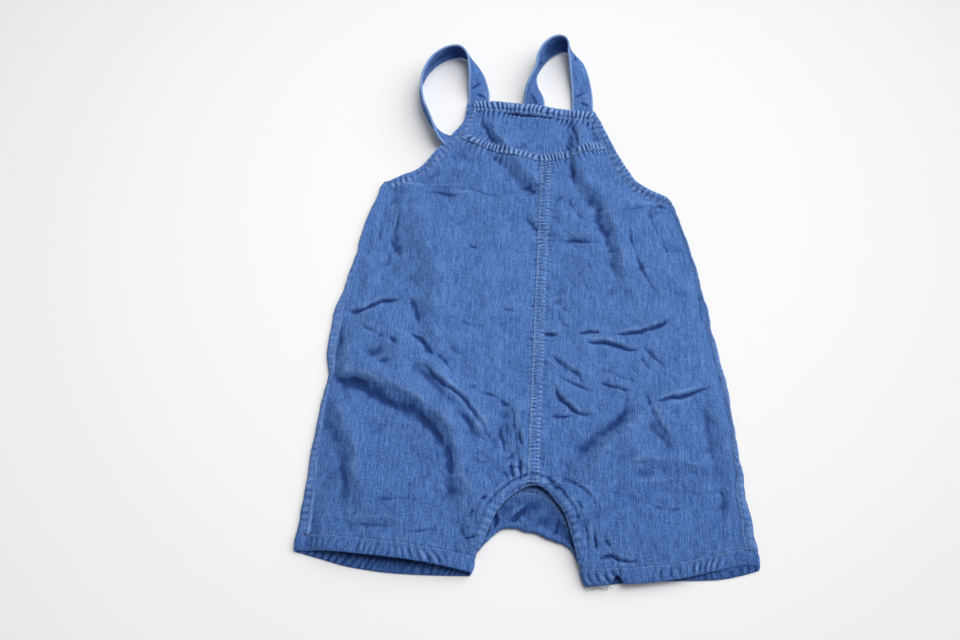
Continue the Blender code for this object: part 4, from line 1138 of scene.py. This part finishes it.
def seat_points():
    """The back's cloth between the legs: from the floor round its fold and up to its seam."""
    seat, flat = seat_lines()
    out = seat[:, :2] - flat
    top = seat[:, 4] + 1.0
    rows = [np.column_stack([flat - 2.0 * out, 0.4 + 0.0 * top])]
    for angle in np.linspace(0.0, math.pi, 12):
        rise = LOWEST + (top - LOWEST) * (1.0 - math.cos(angle)) / 2
        rows.append(np.column_stack([flat + out * math.sin(angle), rise]))
    for part in np.linspace(0.0, 1.0, 16)[1:]:
        plan = mix(flat, seat[:, 2:4], part)
        sag = -1.2 * math.sin(math.pi * part) + 0.5 * hills(plan[:, 0], plan[:, 1], 9.0, 71)
        small = 0.3 * hills(plan[:, 0], plan[:, 1], 4.0, 72)
        sag += small + SEAT_CREASE_DEPTH * creased(plan[:, 0], plan[:, 1], SEAT_CREASE_LINES)
        rows.append(np.column_stack([plan, top + sag * ease(4.0 * part)]))
    return np.array(rows)


def make_crotch(cloths):
    wave = Pucker(6.0, 0.25, (1.0,), 4.0, 101)
    piece = strip("crotch_edge_front", CROTCH, PLACKET_FRONT, 1.0, cloths, wave, pale=0.10)
    seat, _ = seat_lines()
    seam = seat[:, 2:4]
    height = seat[:, 4] + 0.2
    wave = Pucker(5.4, 0.25, (3.5,), 4.0, 111)
    piece = strip("crotch_edge_back", seam, PLACKET_BACK, 1.0, cloths, wave, pale=0.0, stitched=(4, 7),
                  base=lambda x, y: np.interp(x, seam[:, 0], height))


def span(y):
    """Width of the back between its outer edges."""
    return x_at(LEFT.back_edge, y) - x_at(RIGHT.back_edge, y)


def back_bottom(flat):
    """The back's lower edge where it lies flat: along one hem, the foot of the seat's fold, the other."""
    stretches = []
    for half, corner in ((RIGHT, flat[0]), (LEFT, flat[-1])):
        start = x_at(half.back_edge, half.hem_y(half.hem[0, 0], 2, HEM_DEPTH))
        across = np.linspace(start, corner[0] + half.out, BACK_CORNER_COLUMNS)
        stretches.append([(x, half.hem_y(x, 2, HEM_DEPTH - 1.0)) for x in across])
    return np.array(stretches[0] + [tuple(point) for point in flat] + stretches[1][::-1])


def make_back(cloths):
    _, flat = seat_lines()
    bottom = back_bottom(flat[::2])
    low = (bottom[:, 0] - x_at(RIGHT.back_edge, bottom[:, 1])) / span(bottom[:, 1])
    top = np.linspace(0.0, 1.0, len(bottom))
    neck_x = x_at(RIGHT.back_edge, NECK[0, 1]) + span(NECK[0, 1]) * top
    neck_y = y_at(NECK, neck_x) - ARMHOLE_BAND
    rows = []
    for up in np.linspace(0.0, 1.0, BACK_ROWS):
        y = mix(bottom[:, 1], neck_y, up)
        x = x_at(RIGHT.back_edge, y) + span(y) * mix(low, top, up)
        rows.append(np.column_stack([x, y, BACK_HEIGHT + 0.25 * hills(x, y, 14.0, 5) * ease(6.0 * up)]))
    piece = cloth("back_panel_cloth", np.array(rows), PANEL_WALL)
    settle(piece, cloths.body, "denim", "back_panel")
    points = seat_points()
    # The seat is made darker beside the front: painted shade under the front's edge.
    seat = cloth("back_seat_cloth", points, STRIP_WALL, wear_and_shade=rubbed(points[..., 2]) * SEAT_SHADE)
    settle(seat, cloths.body, "denim", "back_panel")
    hem = strip("back_top_hem", NECK, BACK_STRIP, -1.0, cloths, back_pucker(121), base=on_floor,
                stitched=(7,))


# --- Straps ---------------------------------------------------------------------------------------

STRAP_ROWS = 230
STRAP_STITCHES = 8.0    # distance of the edge stitching from the strap's middle line
STRAP_EDGE = 8.9        # beyond this distance the strap's edge is worn, and how much
STRAP_EDGE_WEAR = 1.0
STRAP_INSIDE_SHADE = 0.5   # painted shade on the strap's inner face near its top: how much darker it is made, and how far round it reaches
STRAP_INSIDE_SHADE_REACH = 24.0
# One face of the strap, from its edge to its middle: distance from the middle, height.
STRAP_FACE = ((10.25, 0.0), (10.15, 0.5), (9.7, 0.9), (9.0, 1.05), (8.4, 0.95), (8.0, 0.65), (7.5, 0.9),
              (6.4, 1.05), (4.2, 0.95), (2.0, 0.85), (0.0, 0.85))


def strap_frames(path):
    """The middle line of a strap, and which way its width and its faces point, all the way along."""
    middle = evenly(smooth(path), STRAP_ROWS)
    run = direction(middle)
    turn = np.radians(middle[:, 3])
    flat, rise = np.cos(turn), np.sin(turn)
    height = middle[:, 2] + (STRAP_WIDTH * rise + 2.0 * np.abs(flat)) / 2
    centre = np.column_stack([middle[:, :2], height])
    across = np.column_stack([-run[:, 1] * flat, run[:, 0] * flat, rise])
    slope = np.gradient(centre, axis=0)
    facing = np.cross(slope, across)
    facing /= np.linalg.norm(facing, axis=1)[:, None]
    return centre, across, facing


def strap_points(path, seed):
    """A strap's points, its weave's layout, how worn it is with painted shade in its creases and on its inner
    face, and its rows of stitches.
    """
    centre, across, facing = strap_frames(path)
    along = length_of(centre)
    mirrored = [(-a, h) for a, h in STRAP_FACE[-2::-1]]
    upper = list(STRAP_FACE) + mirrored
    section = upper + [(a, -h) for a, h in upper[-2:0:-1]] + upper[:1]
    a, h = np.array(section).T
    s, side = np.meshgrid(along, a, indexing="ij")
    bend = 0.55 * hills(s, side, 21.0, seed) + 0.3 * hills(s, side, 9.0, seed + 1)
    bend += 0.12 * ridges(s, side, 4.2, seed + 2) * (np.abs(side) / 10.0) ** 2
    bend += creased(side, s, STRAP_CREASE_LINES)
    points = centre[:, None] + across[:, None] * a[None, :, None]
    points = points + facing[:, None] * (h[None] + bend)[..., None]
    points[..., 2] = np.maximum(points[..., 2], LOWEST)
    relief = rubbed(h[None] * np.sign(h[None] + 0.01) + 1.5 * bend, 0.5)
    inside = np.arange(len(a)) >= len(upper)
    # Painted shade on the inner face, strongest just past the loop's top.
    past_top = along - along[centre[:, 1].argmax()] + 4.0
    shaded = inside * np.exp(-(past_top / STRAP_INSIDE_SHADE_REACH) ** 2)[:, None]
    relief = np.where(np.abs(side) > STRAP_EDGE, STRAP_EDGE_WEAR, relief - STRAP_INSIDE_SHADE * shaded)
    travel = np.cumsum(np.hypot(*np.diff(np.array(section), axis=0, prepend=[section[0]]).T))
    weave = np.dstack([np.broadcast_to(travel, s.shape), s])
    stitched = [k for k, value in enumerate(a) if abs(abs(value) - STRAP_STITCHES) < 0.01]
    return points, weave, np.clip(relief, 0.0, 1.0), [points[:, k] + facing * 0.1 for k in stitched]


def make_straps(cloths):
    for name, path, seed in (("strap_right", STRAP_PATH_RIGHT, 131), ("strap_left", STRAP_PATH_LEFT, 141)):
        points, weave, wear_and_shade, rows = strap_points(path, seed)
        piece = cloth(f"{name}_cloth", points, 0.0, closed="tube", weave=weave, wear_and_shade=wear_and_shade)
        settle(piece, cloths.straps, "denim", name)
        sewn(f"{name}_stitches", rows, cloths)


# --- Finishes -------------------------------------------------------------------------------------

Cloths = namedtuple("Cloths", "body seams straps thread")


class Mixer:
    """Puts together the nodes of one finish."""

    def __init__(self, name):
        self.material = bpy.data.materials.new(name)
        self.material.use_nodes = True
        self.nodes = self.material.node_tree.nodes
        self.links = self.material.node_tree.links
        self.finish = self.nodes["Principled BSDF"]

    def node(self, kind, settings=None, **inputs):
        """A node with its own settings; each input is a value or another node's output."""
        made = self.nodes.new(kind)
        for key, value in (settings or {}).items():
            setattr(made, key, value)
        for key, value in inputs.items():
            self.join(made.inputs[int(key[1:]) if key[0] == "i" and key[1:].isdigit() else key], value)
        return made

    def join(self, socket, value):
        if isinstance(value, bpy.types.NodeSocket):
            self.links.new(value, socket)
        else:
            socket.default_value = value

    def maths(self, operation, first, second=0.0, clamp=False):
        settings = {"operation": operation, "use_clamp": clamp}
        return self.node("ShaderNodeMath", settings, i0=first, i1=second).outputs[0]

    def plus(self, first, second, share, clamp=False):
        """The first and this share of the second."""
        return self.maths("ADD", first, self.maths("MULTIPLY", second, share), clamp)

    def off_half(self, first):
        """How far a value is from a half, either way."""
        return self.maths("ABSOLUTE", self.maths("SUBTRACT", first, 0.5))

    def spots(self, place, scale, stretch, detail=2.0, roughness=0.55):
        """Random light and dark from 0 to 1, so many to the metre, drawn out by stretch."""
        turned = self.node("ShaderNodeMapping", Vector=place, Scale=(stretch[0], stretch[1], 1.0)).outputs[0]
        return self.node("ShaderNodeTexNoise", Vector=turned, Scale=scale, Detail=detail,
                         Roughness=roughness).outputs["Fac"]

    def blend(self, part, first, second):
        made = self.node("ShaderNodeMix", {"data_type": "RGBA"})
        for socket, value in zip((made.inputs[0], made.inputs[6], made.inputs[7]), (part, first, second)):
            self.join(socket, value)
        return made.outputs[2]

    def ramp(self, part, low, high):
        """Stretches a narrow range to 0..1."""
        return self.node("ShaderNodeMapRange", {"interpolation_type": "SMOOTHSTEP"}, i0=part, i1=low,
                         i2=high).outputs[0]


def denim(name, worn, look, streak):
    """Chambray: dark warp and pale weft threads, uneven slubs, washed-out patches, rubbed ridges, and painted
    shade in its creases.
    """
    mixer = Mixer(name)
    weave = mixer.node("ShaderNodeUVMap", {"uv_map": "Weave"}).outputs[0]
    wear_and_shade = mixer.node("ShaderNodeAttribute", {"attribute_name": "Wear"}).outputs["Fac"]
    slubs = mixer.spots(weave, 1000.0, (1.0, 0.08), 3.0, 0.7)
    streaks = mixer.spots(weave, 420.0, (1.0, 0.03), 2.0, 0.6)
    weft = mixer.spots(weave, 900.0, (0.12, 1.0), 2.0)
    specks = mixer.spots(weave, 1000.0, (1.0, 0.6), 2.0, 0.7)
    wash = mixer.spots(weave, 60.0, (1.0, 0.7), 5.0, 0.7)
    threads = mixer.maths("MULTIPLY", mixer.ramp(slubs, 0.3, 0.72), streak)
    threads = mixer.plus(threads, mixer.ramp(specks, 0.35, 0.7), 0.45)
    threads = mixer.plus(threads, mixer.ramp(weft, 0.4, 0.75), 0.08)
    threads = mixer.plus(threads, mixer.ramp(streaks, 0.42, 0.72), 0.17)
    tone = mixer.plus(threads, mixer.ramp(wash, 0.25, 0.75), 0.24, True)
    # Darker towards the leg hems, below the garment's middle.
    place = mixer.node("ShaderNodeTexCoord").outputs["Object"]
    up = mixer.node("ShaderNodeSeparateXYZ", i0=place).outputs[1]
    tone = mixer.plus(tone, mixer.ramp(up, 0.0, -0.2), -0.12, True)
    colour = mixer.blend(tone, (*look.deep, 1.0), (*look.pale, 1.0))
    patches = mixer.maths("ADD", mixer.maths("MULTIPLY", threads, 0.7), 0.45)
    rubbed_part = mixer.maths("MULTIPLY", mixer.ramp(wear_and_shade, 0.52, 1.0), patches, True)
    colour = mixer.blend(rubbed_part, colour, (*worn, 1.0))
    # Painted shade: the colour goes towards the shade colour where the worn value is low, in creases and
    # dips.
    crease_shade_part = mixer.maths("MULTIPLY", mixer.ramp(wear_and_shade, 0.49, 0.05), 0.85)
    colour = mixer.blend(crease_shade_part, colour, (*look.crease_shade, 1.0))
    for socket, value in (("Base Color", colour), ("Roughness", look.roughness), ("Sheen Weight", look.sheen),
                          ("Sheen Roughness", 0.5), ("Sheen Tint", (0.35, 0.55, 1.0, 1.0)),
                          ("Specular IOR Level", 0.08)):
        mixer.join(mixer.finish.inputs[socket], value)
    twill = mixer.node("ShaderNodeTexWave", {"wave_type": "BANDS", "bands_direction": "DIAGONAL"},
                       Vector=weave, Scale=260.0, Distortion=1.2).outputs["Fac"]
    relief = mixer.plus(mixer.plus(slubs, specks, 0.6), twill, 0.10)
    crumples = mixer.off_half(mixer.spots(weave, 85.0, (1.0, 0.8), 3.0, 0.6))
    lines = mixer.off_half(mixer.spots(weave, 48.0, (1.0, 0.8), 2.0, 0.5))
    scattered = mixer.ramp(mixer.spots(weave, 30.0, (0.8, 1.0), 1.0), 0.5, 0.66)
    sharp = mixer.maths("MULTIPLY", mixer.ramp(lines, 0.035, 0.0), scattered)
    crumples = mixer.maths("SUBTRACT", crumples, mixer.maths("MULTIPLY", sharp, 0.09))
    crumpled = mixer.node("ShaderNodeBump", Strength=1.0, Distance=look.crumple, Height=crumples).outputs[0]
    bump = mixer.node("ShaderNodeBump", Strength=0.5, Distance=0.0005, Height=relief, Normal=crumpled)
    mixer.links.new(bump.outputs[0], mixer.finish.inputs["Normal"])
    return mixer.material


def thread_finish(name, colour):
    mixer = Mixer(name)
    place = mixer.node("ShaderNodeTexCoord").outputs["Object"]
    twist = mixer.spots(place, 1800.0, (1.0, 1.0), 2.0)
    tone = mixer.blend(twist, (*[0.7 * part for part in colour], 1.0), (*colour, 1.0))
    mixer.join(mixer.finish.inputs["Base Color"], tone)
    mixer.join(mixer.finish.inputs["Roughness"], 0.7)
    mixer.join(mixer.finish.inputs["Sheen Weight"], 0.2)
    bump = mixer.node("ShaderNodeBump", Strength=0.4, Distance=0.0002, Height=twist)
    mixer.links.new(bump.outputs[0], mixer.finish.inputs["Normal"])
    return mixer.material


def finishes():
    """The cloths and the thread, made once and then shared."""
    look, sewing = bpy.context.scene.shorts_cloth, bpy.context.scene.shorts_sewing
    kept = bpy.data.materials
    body = kept.get("Denim") or denim("Denim", look.worn, look, 0.50)
    seams = kept.get("Denim_seams") or denim("Denim_seams", look.seam_worn, look, 0.45)
    straps = kept.get("Denim_straps") or denim("Denim_straps", look.seam_worn, look, 0.45)
    return Cloths(body, seams, straps, kept.get("Thread") or thread_finish("Thread", sewing.thread_colour))


# --- Stage ----------------------------------------------------------------------------------------

VIEW_FROM = Vector((-0.0178, -0.4853, 0.9143))
VIEW_AT = Vector((-0.046645, 0.0, 0.0))
LENS, SENSOR = 45.0, 36.0       # millimetres
FLOOR_DROP = 0.0002     # how far the floor is under z = 0, clear of the cloth
WINDOW_ANGLE, SPOT_ANGLE = math.radians(70.0), math.radians(40.0)
SPOT_RADIUS = 0.6
# Where each light is and the point it is aimed at.
WINDOW_LINE = ((1.6, 0.9, 2.1), (0.0, 0.0, 0.0))
SPOT_LINE = ((0.22, 0.30, 1.35), (0.0, 0.13, 0.0))


def aimed(piece, place, aim):
    """Puts a light or a camera in its place and turns it to look at a point."""
    piece.location = place
    piece.rotation_euler = (aim - place).to_track_quat("-Z", "Y").to_euler()


def make_floor(stage):
    shape = bmesh.new()
    bmesh.ops.create_grid(shape, x_segments=1, y_segments=1, size=stage.floor_size / 2)
    bmesh.ops.translate(shape, verts=shape.verts, vec=(0.0, 0.0, -FLOOR_DROP))
    mesh = kept_mesh("floor", shape)
    floor = placed("floor", mesh)
    mixer = Mixer("Floor")
    mixer.join(mixer.finish.inputs["Base Color"], (*stage.floor_colour, 1.0))
    mixer.join(mixer.finish.inputs["Roughness"], 0.9)
    mesh.materials.append(mixer.material)


def make_lights(stage):
    window = bpy.data.lights.new("window", "SUN")
    window.angle = WINDOW_ANGLE
    window.energy = stage.window_light
    overhead = bpy.data.lights.new("overhead", "SPOT")
    overhead.shadow_soft_size = SPOT_RADIUS
    overhead.spot_size = SPOT_ANGLE
    overhead.spot_blend = 1.0
    overhead.energy = stage.overhead_power
    for light, (place, aim) in ((window, WINDOW_LINE), (overhead, SPOT_LINE)):
        aimed(placed(light.name, light), Vector(place), Vector(aim))
    world = bpy.data.worlds.new("Room")
    world.use_nodes = True
    room = world.node_tree.nodes["Background"]
    room.inputs["Color"].default_value = (1.0, 1.0, 1.0, 1.0)
    room.inputs["Strength"].default_value = stage.room_light
    bpy.context.scene.world = world
    bpy.context.scene.view_settings.view_transform = "Standard"


def make_camera():
    lens = bpy.data.cameras.new("camera")
    lens.lens = LENS
    lens.sensor_width = SENSOR
    camera = placed("camera", lens)
    aimed(camera, VIEW_FROM, VIEW_AT)
    bpy.context.scene.camera = camera


# --- The add-on -----------------------------------------------------------------------------------

class ClothSettings(bpy.types.PropertyGroup):
    """The denim's colours and finish."""
    deep: FloatVectorProperty(name="Deep", description="Colour of the darkest warp threads", subtype="COLOR",
                              default=(0.013, 0.054, 0.222), min=0.0, max=1.0)
    pale: FloatVectorProperty(name="Pale", description="Colour where the weft shows", subtype="COLOR",
                              default=(0.122, 0.255, 0.590), min=0.0, max=1.0)
    worn: FloatVectorProperty(name="Worn", description="Colour of rubbed creases", subtype="COLOR",
                              default=(0.165, 0.300, 0.610), min=0.0, max=1.0)
    seam_worn: FloatVectorProperty(name="Worn seams", description="Colour of rubbed seams and hems",
                                   subtype="COLOR", default=(0.270, 0.430, 0.750), min=0.0, max=1.0)
    # Painted shade: the colour that the cloth is blended towards deep in its creases.
    crease_shade: FloatVectorProperty(name="Hollows", description="Colour of the cloth deep in its creases",
                                 subtype="COLOR", default=(0.009, 0.030, 0.150), min=0.0, max=1.0)
    roughness: FloatProperty(name="Roughness", description="Roughness of the cloth", subtype="FACTOR",
                             default=0.88, min=0.0, max=1.0)
    crumple: FloatProperty(name="Crumple", description="Depth of the cloth's finest wrinkles", unit="LENGTH",
                           default=0.004, min=0.0, max=0.02)
    sheen: FloatProperty(name="Sheen", description="Soft sheen of the cloth's fuzz", subtype="FACTOR",
                         default=0.12, min=0.0, max=1.0)


class SewingSettings(bpy.types.PropertyGroup):
    """The thread and its stitches."""
    thread_colour: FloatVectorProperty(name="Thread", description="Colour of the stitching", subtype="COLOR",
                                       default=(0.350, 0.470, 0.710), min=0.0, max=1.0)
    stitch_length: FloatProperty(name="Stitch length", description="Length of one stitch", unit="LENGTH",
                                 default=0.0021, min=0.0005, max=0.01)
    stitch_gap: FloatProperty(name="Stitch gap", description="Gap between two stitches", unit="LENGTH",
                              default=0.0006, min=0.0, max=0.01)
    thread_width: FloatProperty(name="Thread width", description="Thickness of the thread", unit="LENGTH",
                                default=0.00045, min=0.0001, max=0.002)


class StageSettings(bpy.types.PropertyGroup):
    """The floor and the lights."""
    floor_size: FloatProperty(name="Floor size", description="Width of the floor", unit="LENGTH",
                              default=24.0, min=1.0, max=40.0)
    floor_colour: FloatVectorProperty(name="Floor", description="Colour of the floor", subtype="COLOR",
                                      default=(0.935, 0.932, 0.928), min=0.0, max=1.0)
    window_light: FloatProperty(name="Window light", description="Strength of the light from the upper right",
                                default=2.16, min=0.0, max=20.0)
    overhead_power: FloatProperty(name="Overhead light", description="Power of the soft light from above",
                                  unit="POWER", default=70.0, min=0.0, max=1000.0)
    room_light: FloatProperty(name="Room light", description="Strength of the light from all round",
                              default=0.235, min=0.0, max=10.0)


class Sewing:
    """What the operators that make pieces share: each has its own make."""

    def execute(self, context):
        self.make(finishes())
        return {"FINISHED"}


class FrontPanels(Sewing, bpy.types.Operator):
    """Make the two front panels with their creases"""
    bl_idname = "shorts.front_panels"
    bl_label = "Front panels"
    make = staticmethod(make_front_panels)


class CentreSeam(Sewing, bpy.types.Operator):
    """Make the felled seam down the front"""
    bl_idname = "shorts.centre_seam"
    bl_label = "Centre front seam"
    make = staticmethod(make_centre_seam)


class Yoke(Sewing, bpy.types.Operator):
    """Make the bib's pointed yoke and the felled seam under it"""
    bl_idname = "shorts.yoke"
    bl_label = "Bib yoke"
    make = staticmethod(make_yoke)


class Casing(Sewing, bpy.types.Operator):
    """Make the gathered casing along the bib's top"""
    bl_idname = "shorts.casing"
    bl_label = "Bib casing"
    make = staticmethod(make_casing)


class Armholes(Sewing, bpy.types.Operator):
    """Make the stitched strips along the armholes, front and back"""
    bl_idname = "shorts.armholes"
    bl_label = "Armhole strips"
    make = staticmethod(make_armholes)


class SideSeams(Sewing, bpy.types.Operator):
    """Make the felled side seams"""
    bl_idname = "shorts.side_seams"
    bl_label = "Side seams"
    make = staticmethod(make_side_seams)


class Hems(Sewing, bpy.types.Operator):
    """Make the hems round the leg openings"""
    bl_idname = "shorts.hems"
    bl_label = "Leg hems"
    make = staticmethod(make_hems)


class Crotch(Sewing, bpy.types.Operator):
    """Make the stitched strips along the crotch, front and back"""
    bl_idname = "shorts.crotch"
    bl_label = "Crotch edges"
    make = staticmethod(make_crotch)


class Back(Sewing, bpy.types.Operator):
    """Make the back panel, its seat and the hem at its top"""
    bl_idname = "shorts.back"
    bl_label = "Back"
    make = staticmethod(make_back)


class Straps(Sewing, bpy.types.Operator):
    """Make the two straps with their edge stitching"""
    bl_idname = "shorts.straps"
    bl_label = "Straps"
    make = staticmethod(make_straps)


class Stage(bpy.types.Operator):
    """Make the floor, the lights and the camera"""
    bl_idname = "shorts.stage"
    bl_label = "Stage"

    def execute(self, context):
        stage = context.scene.shorts_stage
        make_floor(stage)
        make_lights(stage)
        make_camera()
        return {"FINISHED"}


MAKERS = (FrontPanels, CentreSeam, Yoke, Casing, Armholes, SideSeams, Hems, Crotch, Back, Straps, Stage)


class ShortsPanel(bpy.types.Panel):
    """Lists the sizes, the colours and the pieces"""
    bl_idname = "VIEW3D_PT_shorts"
    bl_label = "Suspender shorts"
    bl_space_type = "VIEW_3D"
    bl_region_type = "UI"
    bl_category = "Shorts"

    def draw(self, context):
        for group in (context.scene.shorts_cloth, context.scene.shorts_sewing, context.scene.shorts_stage):
            box = self.layout.box()
            for key in group.__annotations__:
                box.prop(group, key)
        for maker in MAKERS:
            self.layout.operator(maker.bl_idname)


CLASSES = (ClothSettings, SewingSettings, StageSettings, *MAKERS, ShortsPanel)


def register():
    for kind in CLASSES:
        bpy.utils.register_class(kind)
    bpy.types.Scene.shorts_cloth = PointerProperty(type=ClothSettings)
    bpy.types.Scene.shorts_sewing = PointerProperty(type=SewingSettings)
    bpy.types.Scene.shorts_stage = PointerProperty(type=StageSettings)


def unregister():
    del bpy.types.Scene.shorts_stage
    del bpy.types.Scene.shorts_sewing
    del bpy.types.Scene.shorts_cloth
    for kind in reversed(CLASSES):
        bpy.utils.unregister_class(kind)


def main():
    register()
    for maker in MAKERS:
        group, name = maker.bl_idname.split(".")
        getattr(getattr(bpy.ops, group), name)()


if __name__ == "__main__":
    main()
